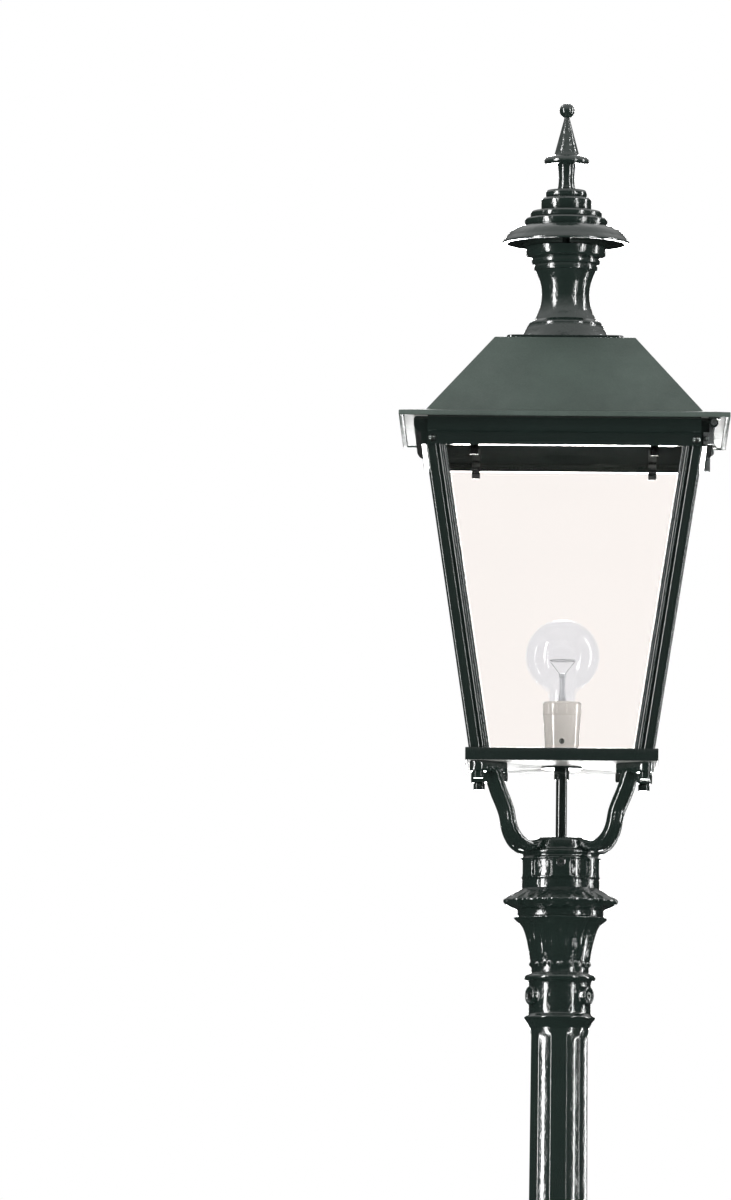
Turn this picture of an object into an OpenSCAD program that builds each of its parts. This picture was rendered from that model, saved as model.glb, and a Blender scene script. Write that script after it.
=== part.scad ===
// Garden lantern on a fluted post with a hexagonal pedestal.
// Millimetres, +Z up, origin on the ground at the centre of the flange.
// The front of the lantern faces -Y and its roof is hinged on the right, at +X.

/* [Pedestal] */
// Diameter of the round ground flange
flange_d = 320; // [300:1:380]
// Thickness of the ground flange
flange_t = 18; // [14:1:26]
// Height of the hexagonal pedestal, flange included
pedestal_h = 713; // [600:1:820]
// Corner radius of the hexagonal plinth
plinth_r = 121; // [114:1:124]
// Corner radius of the hexagonal main block
block_r = 89; // [84:1:94]
// Wall of the pedestal casting
pedestal_wall = 10; // [8:0.5:14]
// Depth of the panels in the six faces
panel_depth = 5; // [2:0.5:6]
// Turn of the hexagon about the post
hex_turn = 21; // [0:1:59]
// Circle of the anchor holes
anchor_pcd = 286; // [280:1:288]
// Radius of an anchor hole
anchor_r = 6.5; // [5:0.5:8]

/* [Baluster] */
// Height of the turned baluster
baluster_h = 489; // [440:1:540]
// Bore of the baluster for the cable
baluster_bore_r = 25; // [16:0.5:28]
// Relief of the leaves on the vase
leaf_relief = 4.5; // [2:0.5:6]
// Number of leaves round the vase
leaf_count = 6; // [5:1:8]
// Number of strands of the rope moulding
rope_strands = 14; // [10:1:18]

/* [Shaft] */
// Visible length of the fluted shaft
shaft_l = 787; // [500:1:1200]
// Radius over the ridges at the foot of the shaft
shaft_foot_r = 35.5; // [34.5:0.5:37]
// Radius over the ridges at the top of the shaft
shaft_top_r = 31.5; // [31:0.5:33]
// Number of flutes
flute_count = 12; // [8:1:16]
// Depth of a flute
flute_depth = 1.8; // [0.8:0.1:2.5]
// Bore of the shaft for the cable
shaft_bore_r = 22; // [14:0.5:23]

/* [Capital] */
// Height of the capital below the cradle
capital_h = 160; // [140:1:180]
// Radius of the petal disc
petal_r = 61.5; // [56:0.5:66]
// Number of petals of the disc
petal_count = 12; // [8:1:16]

/* [Cradle] */
// Outer radius of the windowed collar
collar_r = 43.5; // [42:0.5:48]
// Height of the collar and the ring above it
cradle_ring_h = 46; // [42:1:50]
// Height from the foot of the collar to the lantern
cradle_h = 124; // [118:1:130]
// Width of an arm across its bend
arm_w = 18; // [12:0.5:22]
// Thickness of an arm in its bend
arm_t = 12; // [9:0.5:14]

/* [Lantern] */
// Side of the square bottom frame
bottom_side = 208; // [204:1:214]
// Height of the bottom frame
bottom_frame_h = 13.5; // [12:0.5:18]
// Height of the glazed body between the frames
glazing_h = 322.5; // [290:0.5:360]
// How far a side leans out for each millimetre of height
lean = 0.1525; // [0.13:0.0025:0.1525]
// Width of one leg of a corner post
post_leg = 22; // [18:0.5:26]
// Thickness of a pane
pane_t = 3; // [2:0.5:4]
// Height of the top frame
top_frame_h = 30.5; // [30.5:0.5:34]

/* [Roof] */
// Side of the square brim
brim_side = 356; // [354:1:380]
// Height of the pyramid above the brim
pyramid_h = 87; // [70:1:110]
// Side of the flat top of the roof
crown_side = 152; // [140:1:170]
// Sheet thickness of the roof
roof_sheet = 2.5; // [2:0.1:3]
// Height of the chimney
chimney_h = 105; // [100:1:115]
// Radius of the rain cap
cap_r = 67.5; // [60:0.5:74]

/* [Lamp] */
// Diameter of the globe bulb
globe_d = 80; // [60:1:80]
// Radius of the porcelain holder's ring
holder_r = 20.85; // [20:0.05:23]

/* [Hidden] */
$fn = 64;
eps = 0.01;
fit_gap = 0.15;
dark_green = "#27332f";
roof_green = "#5d6b66";
pale_grey = "#c9cbc9";

// Levels, each built on the one below
baluster_z = pedestal_h;
shaft_z = baluster_z + baluster_h;
capital_z = shaft_z + shaft_l;
cradle_z = capital_z + capital_h;
lantern_z = cradle_z + cradle_h;
glazing_z = lantern_z + bottom_frame_h;
top_frame_z = glazing_z + glazing_h;
roof_z = top_frame_z + top_frame_h;

// Stretch of the three castings whose outlines are drawn at 713, 489 and 160 high
ped_k = pedestal_h / 713;
bal_k = baluster_h / 489;
cap_k = capital_h / 160;

// Pedestal
pedestal_neck_z = 160 * ped_k;
panel_bottom_z = 224 * ped_k;
panel_top_z = 597 * ped_k;
pedestal_top_t = 13;
panel_border = 15;
anchor_count = 3;
cos30 = cos(30);

// Spigots between the castings
baluster_spigot_r = 33;
baluster_spigot_l = 20;
shaft_foot_spigot_r = 31;
shaft_foot_spigot_l = 55;
shaft_top_spigot_r = 27;
shaft_top_spigot_l = 46;
capital_spigot_r = 30;
capital_spigot_l = 26;
capital_bore_r = 21;

// Front angles of the three round bosses and of the first leaf vein
boss_angles = [58, -62, 178];
vein_angle = -25;
ridge_angle = 14;
boss_z = capital_z + 35 * cap_k;
boss_r = 10.5;
boss_reach = 38;
grub_r = 4;

// Collar
window_count = 6;
window_w = 25;
window_h = 19;
window_z = cradle_z + 13;
window_floor_r = collar_r - 3.2;
collar_wall_h = 32;
cradle_floor_z = cradle_z + 29;
cradle_floor_t = 8;
pad_screw_z = cradle_z + 19;

// Rod
rod_r = 6;
rod_bore_r = 3.8;
rod_nut_r = 11;
rod_nut_h = 7;
rod_washer_r = 22;
rod_washer_t = 2;

// Bottom frame and plate
bottom_half = bottom_side / 2;
plate_t = 2;
plate_lip = 1.7;
frame_web = 26;
lug_at = bottom_half - 14;
lug_r = 9;
lug_t = 11.5;
cradle_bolt_r = 4;
cradle_bolt_head_r = 6.4;
cradle_bolt_head_h = 7.5;

// Corner posts and panes
post_t = 9;
glazing_half = bottom_half - 4.2;
post_lean = atan(lean * sqrt(2));
face_lean = atan(lean);
leg_angle = acos(-lean * lean / (1 + lean * lean)) / 2;
pane_edge_gap = 13.5;
pane_rise = 9;
pane_seat_gap = 0.05;
pane_outer = glazing_half - post_t / cos(face_lean) - pane_seat_gap;
pane_inner = pane_outer - pane_t / cos(face_lean);

// Top frame
ring_outer = glazing_half + lean * glazing_h - 2;
ring_wall = 4;
ring_inner = ring_outer - ring_wall;
band_reach = 15;
lower_band_reach = 7;
lower_band_h = 13;

// Spring clips on the inner faces of the top frame
clip_at = ring_inner - 46;
clip_w = 9;
clip_t = 0.9;
clip_screw_z = top_frame_z + 19;

// Roof
brim_half = brim_side / 2;
crown_half = crown_side / 2;
brim_lip = 5;
brim_edge_h = 5;
ceiling_t = 1.5;
ceiling_recess = 1.5;
brim_z = roof_z - ceiling_recess;
pyramid_foot_half = ring_outer + 2;
pyramid_foot_z = brim_z + 9;
crown_z = pyramid_foot_z + pyramid_h;
roof_vent_r = 34;
ceiling_vent_r = 30;
ceiling_screw_x = pyramid_foot_half + 4;
ceiling_screw_y = 100;

// Chimney, cap and finial
chimney_bore_r = 20;
chimney_foot_side = 125;
chimney_foot_t = 4;
chimney_screw_at = 38;
chimney_top_z = crown_z + chimney_h;
chimney_k = chimney_h / 105;
bridge_z = chimney_top_z - 40;
bridge_t = 9;
cap_rod_r = 4;
cap_gap = 5;
cap_z = chimney_top_z + cap_gap;
cap_h = 60.6;
finial_z = cap_z + cap_h;
ball_r = 8.2;
cap_k_r = cap_r / 67.5;

// Roof hinge, in the corner notches on the right side
hinge_x = ring_outer + band_reach - 1.5;
hinge_z = roof_z - 5.5;
hinge_pin_r = 2.2;
hinge_knuckle_r = 4.6;
hinge_run_gap = 0.08;
frame_leaf_t = 3;
frame_leaf_w = 11;
frame_leaf_reach = 0.2;
hinge_screw_x = hinge_x - 8.5;
roof_leaf_w = 9;
hinge_leaf_gap = 0.4;

// Lamp
globe_r = globe_d / 2;
holder_z = glazing_z - 4.5;
holder_h = 62;
holder_screw_h = 18;
holder_screw_x = 18.3;
holder_screw_r = 3;
lead_r = 0.5;
globe_z = holder_z + holder_h + 9.5 + globe_r;
glass_wall = 1;
cap_screw_r = 13.2;

// Front angle, 0 towards -Y and growing towards +X, to the angle about Z
function front(a) = a - 90;

// One point of a smooth curve through a, b, c and d, between b and c
function smooth_point(a, b, c, d, t) =
    0.5 * ((2 * b) + (c - a) * t + (2 * a - 5 * b + 4 * c - d) * t * t
        + (3 * b - a - 3 * c + d) * t * t * t);

// A smooth curve through the points, with a number of steps between two of them
function smooth(points, steps = 4) = let(last = len(points) - 1) concat(
    [for (i = [0:last - 1]) for (s = [0:steps - 1])
        smooth_point(
            points[max(i - 1, 0)], points[i], points[i + 1], points[min(i + 2, last)], s / steps
        )],
    [points[last]]
);

// Heights of an outline counted up from a level and stretched by a factor
function raised(points, level, k = 1) = [for (p = points) [p[0], level + p[1] * k]];

// Angle from the middle of the nearest of count equal sectors
function sector(angle, count) = let(w = 360 / count, a = angle - w * floor(angle / w + 0.5)) a;

// A smooth hump, 1 at x = 0 and 0 beyond x = w
function hump(x, w) = abs(x) >= w ? 0 : 0.5 + 0.5 * cos(180 * x / w);

// A solid of revolution with a round bore
module turned(outline, bore) {
    last = len(outline) - 1;
    rotate_extrude()
        polygon(concat([[bore, outline[0][1]]], outline, [[bore, outline[last][1]]]));
}

// A tube whose outside follows an outline plus a relief, given as a function of height and angle
module carved(outline, bore, columns, relief) {
    rows = len(outline);
    outer = [for (i = [0:rows - 1]) for (j = [0:columns - 1])
        let(a = 360 * j / columns, r = outline[i][0] + relief(outline[i][1], a))
        [r * cos(a), r * sin(a), outline[i][1]]];
    inner = [for (i = [0, rows - 1]) for (j = [0:columns - 1])
        let(a = 360 * j / columns)
        [bore * cos(a), bore * sin(a), outline[i][1]]];
    function at(i, j) = i * columns + (j % columns);
    skin = [for (i = [0:rows - 2]) for (j = [0:columns - 1])
        each quad(at(i, j), at(i, j + 1), at(i + 1, j + 1), at(i + 1, j))];
    lining = [for (j = [0:columns - 1])
        each quad(at(rows, j + 1), at(rows, j), at(rows + 1, j), at(rows + 1, j + 1))];
    foot = [for (j = [0:columns - 1])
        each quad(at(0, j + 1), at(0, j), at(rows, j), at(rows, j + 1))];
    head = [for (j = [0:columns - 1])
        each quad(at(rows - 1, j), at(rows - 1, j + 1), at(rows + 1, j + 1), at(rows + 1, j))];
    polyhedron(concat(outer, inner), concat(skin, lining, foot, head));
}

// Two triangles of a quad, seen clockwise from outside as the solid needs them
function quad(a, b, c, d) = [[a, c, b], [a, d, c]];

// A turned shape with four flat sides, its outline given by half widths
module four_sided(outline) {
    rotate([0, 0, 45])
        rotate_extrude($fn = 4)
            polygon([for (p = outline) [p[0] * sqrt(2), p[1]]]);
}

// A turned shape with six flat sides, its outline given by corner radii
module six_sided(outline) {
    rotate([0, 0, hex_turn])
        rotate_extrude($fn = 6)
            polygon(outline);
}

// A block that narrows from w1 by l1 at the origin to w2 by l2 at depth d
module frustum(w1, l1, w2, l2, d) {
    corners = [[-1, -1], [1, -1], [1, 1], [-1, 1]] / 2;
    base = [for (c = corners) [c[0] * w1, c[1] * l1, 0]];
    tip = [for (c = corners) [c[0] * w2, c[1] * l2, d]];
    sides = [for (i = [0:3]) each quad(i, (i + 1) % 4, 4 + (i + 1) % 4, 4 + i)];
    polyhedron(concat(base, tip), concat(quad(3, 2, 1, 0), sides, quad(4, 5, 6, 7)));
}

// A round-cornered plate centred on the origin
module rounded_plate(w, h, r, t) {
    linear_extrude(t)
        union() {
            square([w - 2 * r, h], center = true);
            square([w, h - 2 * r], center = true);
            for (x = [-1, 1], y = [-1, 1])
                translate([x * (w / 2 - r), y * (h / 2 - r)]) circle(r);
        }
}

// A round-headed screw pointing down from its seat at the origin
module round_head_screw(head_r, head_h, shank_r, shank_l) {
    sphere_r = (head_r * head_r + head_h * head_h) / (2 * head_h);
    difference() {
        intersection() {
            translate([0, 0, head_h - sphere_r]) sphere(sphere_r);
            cylinder(r = head_r + 1, h = head_h + 1);
        }
        translate([-head_r - 1, -head_r / 6, head_h * 0.6])
            cube([2 * head_r + 2, head_r / 3, head_h]);
    }
    translate([0, 0, -shank_l]) cylinder(r = shank_r, h = shank_l + head_h * 0.3);
}

// A threadless nut with a through hole, standing on the origin
module nut(r, hole_r, h) {
    difference() {
        cylinder(r = r, h = h, $fn = 6);
        translate([0, 0, -1]) cylinder(r = hole_r, h = h + 2);
    }
}

// Pedestal: round flange, hexagonal plinth, panelled block and cornice
module base_pedestal() {
    outline = concat(
        [[0, 0], [127, 0], [127, flange_t], [plinth_r + 4, flange_t + 5], [plinth_r + 4, flange_t + 13],
         [plinth_r, flange_t + 15], [plinth_r, 106 * ped_k], [plinth_r - 5, 108 * ped_k],
         [plinth_r - 5, 118 * ped_k]],
        smooth(raised([[plinth_r - 5, 120], [103, 130], [94, 143], [block_r, 158]], 0, ped_k), 3),
        [[block_r, 172 * ped_k], [98, 175 * ped_k], [99.5, 181 * ped_k], [98, 187 * ped_k],
         [block_r, 190 * ped_k], [block_r, 619 * ped_k], [100, 621 * ped_k], [102, 626 * ped_k],
         [100, 631 * ped_k], [92, 633 * ped_k], [92, 664 * ped_k], [98, 668 * ped_k]],
        smooth(raised([[98, 669], [104, 673], [108, 680]], 0, ped_k), 3),
        [[108, 687 * ped_k], [106, 689 * ped_k], [92, 690 * ped_k], [92, pedestal_h], [0, pedestal_h]]
    );
    cavity = [
        [0, -1], [plinth_r - pedestal_wall, -1], [plinth_r - pedestal_wall, 100 * ped_k],
        [block_r - pedestal_wall - 3, pedestal_neck_z],
        [block_r - pedestal_wall - 3, pedestal_h - pedestal_top_t],
        [0, pedestal_h - pedestal_top_t]
    ];
    panel_w = block_r - 2 * panel_border;
    panel_mid = (panel_bottom_z + panel_top_z) / 2;
    panel_l = panel_top_z - panel_bottom_z;
    color(dark_green)
        difference() {
            union() {
                six_sided(outline);
                rotate_extrude()
                    polygon(concat(
                        [[100, 0], [flange_d / 2, 0], [flange_d / 2, flange_t - 5]],
                        smooth([[flange_d / 2, flange_t - 5], [flange_d / 2 - 1.5, flange_t - 1.5],
                                [flange_d / 2 - 5, flange_t]], 2),
                        [[100, flange_t]]
                    ));
            }
            six_sided(cavity);
            translate([0, 0, pedestal_h - pedestal_top_t - 1])
                cylinder(r = baluster_spigot_r + fit_gap, h = pedestal_top_t + 2);
            for (i = [0:5])
                rotate([0, 0, hex_turn + 30 + 60 * i])
                    translate([block_r * cos30 + eps, 0, panel_mid])
                        rotate([90, 0, -90])
                            frustum(panel_w, panel_l, panel_w - 8, panel_l - 10, panel_depth);
            for (i = [0:anchor_count - 1])
                rotate([0, 0, hex_turn - 90 + 120 * i])
                    translate([anchor_pcd / 2, 0, -1])
                        cylinder(r = anchor_r, h = flange_t + 2);
        }
}

// Relief of the long leaves on the vase: a vein, rising lobes and smooth ribs between the leaves
function vase_relief(z, a) =
    let(
        h = (z - baluster_z) / bal_k,
        s = sector(a - front(vein_angle), leaf_count) * leaf_count / 6,
        fade = min(1, max(0, (h - 212) / 14)) * min(1, max(0, (402 - h) / 40)),
        lobes = 0.62 + 0.38 * cos(360 * (h - 1.1 * abs(s)) / 27)
    )
    leaf_relief * fade * (hump(s, 24) * lobes + 0.35 * hump(s, 5));

// Relief of the leaf bell at the foot: twelve leaf tips with curled edges
function bell_relief(z, a) =
    let(
        h = (z - baluster_z) / bal_k,
        low = hump(h - 39, 16),
        s = sector(a - front(vein_angle), 12)
    )
    3.5 * low * hump(s, 13) - 2.2 * (1 - low) * hump(abs(s) - 15, 5);

// Petals of the tulip: the rim dips between the petals
function tulip_relief(z, a) =
    let(
        h = (z - baluster_z) / bal_k,
        s = sector(a - hex_turn - 30, 6)
    )
    -4.5 * hump(h - 463, 40) * hump(abs(s) - 30, 14) + 1.2 * hump(s, 9) * hump(h - 445, 40);

// Twisted rope moulding
function rope_relief(z, a) =
    let(h = (z - baluster_z) / bal_k - 122)
    -2.6 * (0.5 + 0.5 * cos(rope_strands * a + h * 22)) * hump(h, 12);

// Baluster: slab, leaf bell, rope, leafed vase and petal tulip, with a bore for the cable
module baluster() {
    z = baluster_z;
    slab = concat(
        [[66, 0], [66, 2], [74, 3]], smooth([[76, 4], [77.5, 10], [76, 16.5]], 2),
        [[72, 18], [70, 25], [68.5, 29], [62, 30], [62, 38]]
    );
    bell = smooth([[62.5, 38], [61, 41], [56, 50], [54, 57], [54, 73], [52.5, 84], [50, 93], [47.5, 100]], 1);
    lower_ring = [[46, 100], [46, 110], [44, 112]];
    rope = smooth([[50, 112], [55, 116], [56.5, 122], [55, 128], [50, 132]], 2);
    scotia = concat(
        [[44, 132], [46.5, 134], [46.5, 142], [41, 143.5]],
        smooth([[41, 143.5], [38, 150], [38, 160], [41, 171]], 3),
        smooth([[43, 172], [46, 176], [46, 181], [42, 185]], 3)
    );
    vase = smooth(
        [[42, 186], [51, 196], [58, 206], [61, 217], [61.5, 232], [60.5, 260], [58, 292], [54, 334],
         [47, 355], [45.5, 376], [42, 397], [40.5, 409]], 3
    );
    tulip = smooth(
        [[40.5, 409], [42, 418], [43.5, 428], [46, 439], [50, 452], [56.5, 463], [54, 467], [48, 469]], 1
    );
    neck = [[37, 469], [35.5, 475], [35.5, 476]];
    bead = smooth([[36, 476], [38, 479.5], [38, 485], [36, 489]], 3);
    color(dark_green)
        difference() {
            union() {
                translate([0, 0, z - baluster_spigot_l])
                    difference() {
                        cylinder(r = baluster_spigot_r, h = baluster_spigot_l + 1);
                        translate([0, 0, -1]) cylinder(r = baluster_bore_r, h = baluster_spigot_l + 3);
                    }
                turned(raised(slab, z, bal_k), baluster_bore_r);
                carved(raised(bell, z, bal_k), 35, 72, function(h, a) bell_relief(h, a));
                turned(raised([[38, 38], [38, 100]], z, bal_k), baluster_bore_r);
                turned(raised(lower_ring, z, bal_k), baluster_bore_r);
                carved(raised(rope, z, bal_k), 35, 84, function(h, a) rope_relief(h, a));
                turned(raised([[38, 112], [38, 132]], z, bal_k), baluster_bore_r);
                turned(raised(scotia, z, bal_k), baluster_bore_r);
                carved(raised(vase, z, bal_k), 36.5, 72, function(h, a) vase_relief(h, a));
                turned(raised([[37.5, 185], [37.5, 409]], z, bal_k), baluster_bore_r);
                carved(raised(tulip, z, bal_k), 35, 60, function(h, a) tulip_relief(h, a));
                turned(raised([[36, 409], [36, 469]], z, bal_k), baluster_bore_r);
                turned(raised(concat(neck, bead), z, bal_k), baluster_bore_r);
            }
            translate([0, 0, shaft_z - shaft_foot_spigot_l - 1])
                cylinder(r = shaft_foot_spigot_r + fit_gap, h = shaft_foot_spigot_l + 2);
        }
}

// Outline of the fluted shaft at its foot
function flute_r(a) =
    shaft_foot_r - flute_depth * pow(abs(sin(flute_count / 2 * (a - front(ridge_angle)))), 0.9);

// Shaft: fluted, slightly tapered, with plain spigots into the baluster and the capital
module shaft() {
    steps = flute_count * 8;
    color(dark_green)
        difference() {
            union() {
                translate([0, 0, shaft_z])
                    linear_extrude(shaft_l, scale = shaft_top_r / shaft_foot_r)
                        polygon([for (i = [0:steps - 1])
                            let(a = front(ridge_angle) + 360 * i / steps) flute_r(a) * [cos(a), sin(a)]]);
                translate([0, 0, shaft_z - shaft_foot_spigot_l])
                    cylinder(r = shaft_foot_spigot_r, h = shaft_foot_spigot_l + 5);
                translate([0, 0, capital_z - 5])
                    cylinder(r = shaft_top_spigot_r, h = shaft_top_spigot_l + 5);
            }
            translate([0, 0, shaft_z - shaft_foot_spigot_l - 1])
                cylinder(r = shaft_bore_r, h = shaft_l + shaft_foot_spigot_l + shaft_top_spigot_l + 2);
        }
}

// Leaf tips round the lip of the capital's bell
function capital_relief(z, a) =
    let(
        h = (z - capital_z) / cap_k,
        s = sector(a - front(vein_angle), 8)
    )
    1.8 * hump(s, 14) * hump(h - 104, 30) - 1.6 * hump(abs(s) - 22.5, 6) * hump(h - 112, 26);

// Petals of the disc, curled at the rim
function petal_relief(z, a) =
    let(
        h = (z - capital_z) / cap_k,
        s = sector(a - front(0), petal_count) * petal_count / 12
    )
    -4.5 * hump(abs(s) - 15, 6.5) * hump(h - 137, 11);

// Capital: boss band, flared leaf bell, petal disc and spigot for the cradle
module capital() {
    z = capital_z;
    foot = concat(
        [[31.8, 0], [34, 4], [36.5, 8], [38.5, 10.5], [38, 12.5], [33.5, 15.5], [33.5, 50]],
        [[36.5, 52], [38.5, 54.5], [36.5, 57.5], [32, 60]]
    );
    bell = smooth(
        [[31.5, 60], [31, 66], [32.5, 74], [34.5, 86], [37, 98], [41, 109], [46, 115], [50, 119], [48, 121]], 1
    );
    neck = [[46.5, 121], [46.5, 128]];
    disc = smooth([[47, 128], [56, 132], [petal_r, 137], [59, 141], [51, 146], [43, 151]], 2);
    top = [[42, 151], [42, 160]];
    color(dark_green)
        difference() {
            union() {
                turned(raised(foot, z, cap_k), capital_bore_r);
                carved(raised(bell, z, cap_k), 28, 72, function(h, a) capital_relief(h, a));
                turned(raised([[29, 60], [29, 121]], z, cap_k), capital_bore_r);
                turned(raised(neck, z, cap_k), capital_bore_r);
                carved(raised(disc, z, cap_k), 40, 72, function(h, a) petal_relief(h, a));
                turned(raised([[41, 128], [41, 151]], z, cap_k), capital_bore_r);
                turned(raised(top, z, cap_k), capital_bore_r);
                translate([0, 0, cradle_z - 1])
                    difference() {
                        cylinder(r = capital_spigot_r, h = capital_spigot_l + 1);
                        translate([0, 0, -1]) cylinder(r = capital_bore_r, h = capital_spigot_l + 3);
                    }
                for (a = boss_angles)
                    rotate([0, 0, front(a)])
                        translate([30, 0, boss_z])
                            rotate([0, 90, 0]) cylinder(r = boss_r, h = boss_reach - 30);
            }
            translate([0, 0, z - 1])
                cylinder(r = shaft_top_spigot_r + fit_gap, h = shaft_top_spigot_l + 1);
            for (a = boss_angles)
                rotate([0, 0, front(a)])
                    translate([20, 0, boss_z])
                        rotate([0, 90, 0]) cylinder(r = grub_r + 0.05, h = boss_reach);
        }
}

// A grub screw lying along +X, with a hexagon socket in its outer end
module grub_screw(reach_in, reach_out) {
    translate([reach_in, 0, 0])
        rotate([0, 90, 0])
            difference() {
                cylinder(r = grub_r, h = reach_out - reach_in);
                translate([0, 0, reach_out - reach_in - 3]) cylinder(r = 2.3, h = 4, $fn = 6);
            }
}

module capital_screws() {
    color("#3a3f3d")
        for (a = boss_angles)
            rotate([0, 0, front(a)])
                translate([0, 0, boss_z]) grub_screw(shaft_top_spigot_r, boss_reach - 0.6);
}

// Outer side of an arm in its own plane: distance from the axis and height above the collar's foot
function arm_curve(offset) =
    smooth([
        [40 + offset * 0.2, 32 + offset], [52, 30.5 + offset], [64 - offset * 0.25, 33.5 + offset * 0.95],
        [74 - offset * 0.6, 40 + offset * 0.75], [82 - offset * 0.9, 50 + offset * 0.35],
        [86.5 - offset, 60 + offset * 0.1], [90 - offset, 74], [96 - offset, 86], [103 - offset, 98],
        [113 - offset, cradle_h - 2]
    ], 4);

// Cradle: windowed collar, ring and four curved arms with bolt lugs
module cradle() {
    outer_side = arm_curve(0);
    inner_side = arm_curve(arm_t);
    reversed = [for (i = [len(inner_side) - 1:-1:0]) inner_side[i]];
    color(dark_green)
        difference() {
            union() {
                turned(raised([
                    [collar_r - 2, 0], [collar_r - 2, 1.5], [collar_r, 2.5], [collar_r, collar_wall_h - 8],
                    [collar_r - 2.5, collar_wall_h - 6.5], [collar_r - 2.5, collar_wall_h - 4.5],
                    [collar_r - 0.5, collar_wall_h - 3], [collar_r - 0.5, collar_wall_h],
                    [collar_r - 5, collar_wall_h + 1], [collar_r - 5, cradle_ring_h - 2],
                    [collar_r - 7, cradle_ring_h]
                ], cradle_z), capital_spigot_r + fit_gap);
                translate([0, 0, cradle_floor_z])
                    cylinder(r = capital_spigot_r + 2, h = cradle_floor_t);
                for (i = [0:3])
                    rotate([0, 0, 45 + 90 * i]) {
                        translate([0, arm_w / 2, cradle_z])
                            rotate([90, 0, 0])
                                linear_extrude(arm_w)
                                    polygon(concat(outer_side, reversed));
                        translate([0, 0, lantern_z - lug_t])
                            linear_extrude(lug_t)
                                union() {
                                    translate([113 - arm_t - 8, -lug_r])
                                        square([lug_at * sqrt(2) - 113 + arm_t + 8, 2 * lug_r]);
                                    translate([lug_at * sqrt(2), 0]) circle(lug_r);
                                }
                    }
            }
            for (i = [0:window_count - 1])
                rotate([0, 0, front(30) + 60 * i])
                    translate([window_floor_r, 0, window_z])
                        rotate([90, 0, 90])
                            rounded_plate(window_w, window_h, 3.5, 8);
            for (i = [0:2])
                rotate([0, 0, front(0) + 120 * i])
                    translate([20, 0, pad_screw_z])
                        rotate([0, 90, 0]) cylinder(r = grub_r + 0.05, h = 40);
            translate([0, 0, cradle_floor_z - 1])
                cylinder(r = rod_r + fit_gap, h = cradle_floor_t + 2);
            for (x = [-1, 1], y = [-1, 1])
                translate([x * lug_at, y * lug_at, lantern_z - lug_t - 1])
                    cylinder(r = cradle_bolt_r + 0.3, h = lug_t + 2);
        }
}

module cradle_screws() {
    color("#3a3f3d")
        for (i = [0:2])
            rotate([0, 0, front(0) + 120 * i])
                translate([0, 0, pad_screw_z]) grub_screw(capital_spigot_r, collar_r - 0.8);
}

module cradle_bolts() {
    color(dark_green)
        for (x = [-1, 1], y = [-1, 1])
            translate([x * lug_at, y * lug_at, lantern_z - lug_t]) {
                translate([0, 0, -cradle_bolt_head_h])
                    cylinder(r = cradle_bolt_head_r, h = cradle_bolt_head_h, $fn = 6);
                cylinder(r = cradle_bolt_r, h = lug_t + bottom_frame_h - 3);
            }
}

// Rod that carries the wires from the cradle up to the lamp holder
module conduit_rod() {
    color(dark_green)
        translate([0, 0, cradle_floor_z - rod_nut_h - 1])
            difference() {
                cylinder(r = rod_r, h = holder_z + 8 - cradle_floor_z + rod_nut_h + 1);
                translate([0, 0, -1])
                    cylinder(r = rod_bore_r, h = holder_z + 10 - cradle_floor_z + rod_nut_h + 1);
            }
}

module rod_nuts() {
    color(dark_green) {
        for (z = [cradle_floor_z - rod_nut_h, cradle_floor_z + cradle_floor_t])
            translate([0, 0, z]) nut(rod_nut_r, rod_r + 0.05, rod_nut_h);
        translate([0, 0, lantern_z - rod_washer_t - 12]) nut(8.2, rod_r + 0.05, 12);
        translate([0, 0, lantern_z + plate_t]) nut(rod_nut_r, rod_r + 0.05, holder_z - lantern_z - plate_t);
    }
}

module rod_washer() {
    color(dark_green)
        translate([0, 0, lantern_z - rod_washer_t])
            difference() {
                cylinder(r = rod_washer_r, h = rod_washer_t);
                translate([0, 0, -1]) cylinder(r = rod_r + fit_gap, h = rod_washer_t + 2);
            }
}

// Bottom frame: square ring with a rebate for the plate and tapped corner holes
module bottom_frame() {
    color(dark_green)
        translate([0, 0, lantern_z])
            difference() {
                translate([-bottom_half, -bottom_half, 0])
                    cube([bottom_side, bottom_side, bottom_frame_h]);
                translate([-bottom_half + frame_web, -bottom_half + frame_web, -1])
                    cube([bottom_side - 2 * frame_web, bottom_side - 2 * frame_web, bottom_frame_h + 2]);
                translate([-bottom_half + plate_lip, -bottom_half + plate_lip, -1])
                    cube([bottom_side - 2 * plate_lip, bottom_side - 2 * plate_lip, plate_t + 1]);
                for (x = [-1, 1], y = [-1, 1])
                    translate([x * lug_at, y * lug_at, 0])
                        cylinder(r = cradle_bolt_r + 0.05, h = bottom_frame_h - 2.5);
            }
}

module bottom_plate() {
    side = bottom_side - 2 * plate_lip - 0.4;
    color(pale_grey)
        translate([0, 0, lantern_z])
            difference() {
                translate([-side / 2, -side / 2, 0]) cube([side, side, plate_t]);
                translate([0, 0, -1]) cylinder(r = rod_r + fit_gap, h = plate_t + 2);
                for (x = [-1, 1], y = [-1, 1])
                    translate([x * lug_at, y * lug_at, -1])
                        cylinder(r = cradle_bolt_r + 0.3, h = plate_t + 2);
            }
}

// Section of a corner post: two legs from the outer corner, each with round beads
module post_section() {
    bead_r = 2.6;
    end_bead_r = 1.8;
    for (m = [0, 1])
        mirror([0, m, 0])
            rotate([0, 0, leg_angle])
                translate([0, -post_t]) {
                    square([post_leg, post_t - bead_r]);
                    for (k = [0:2])
                        translate([bead_r + k * (post_leg - 8.6) / 2, post_t - bead_r]) circle(bead_r);
                    translate([post_leg - end_bead_r, post_t - end_bead_r]) circle(end_bead_r);
                }
}

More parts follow.
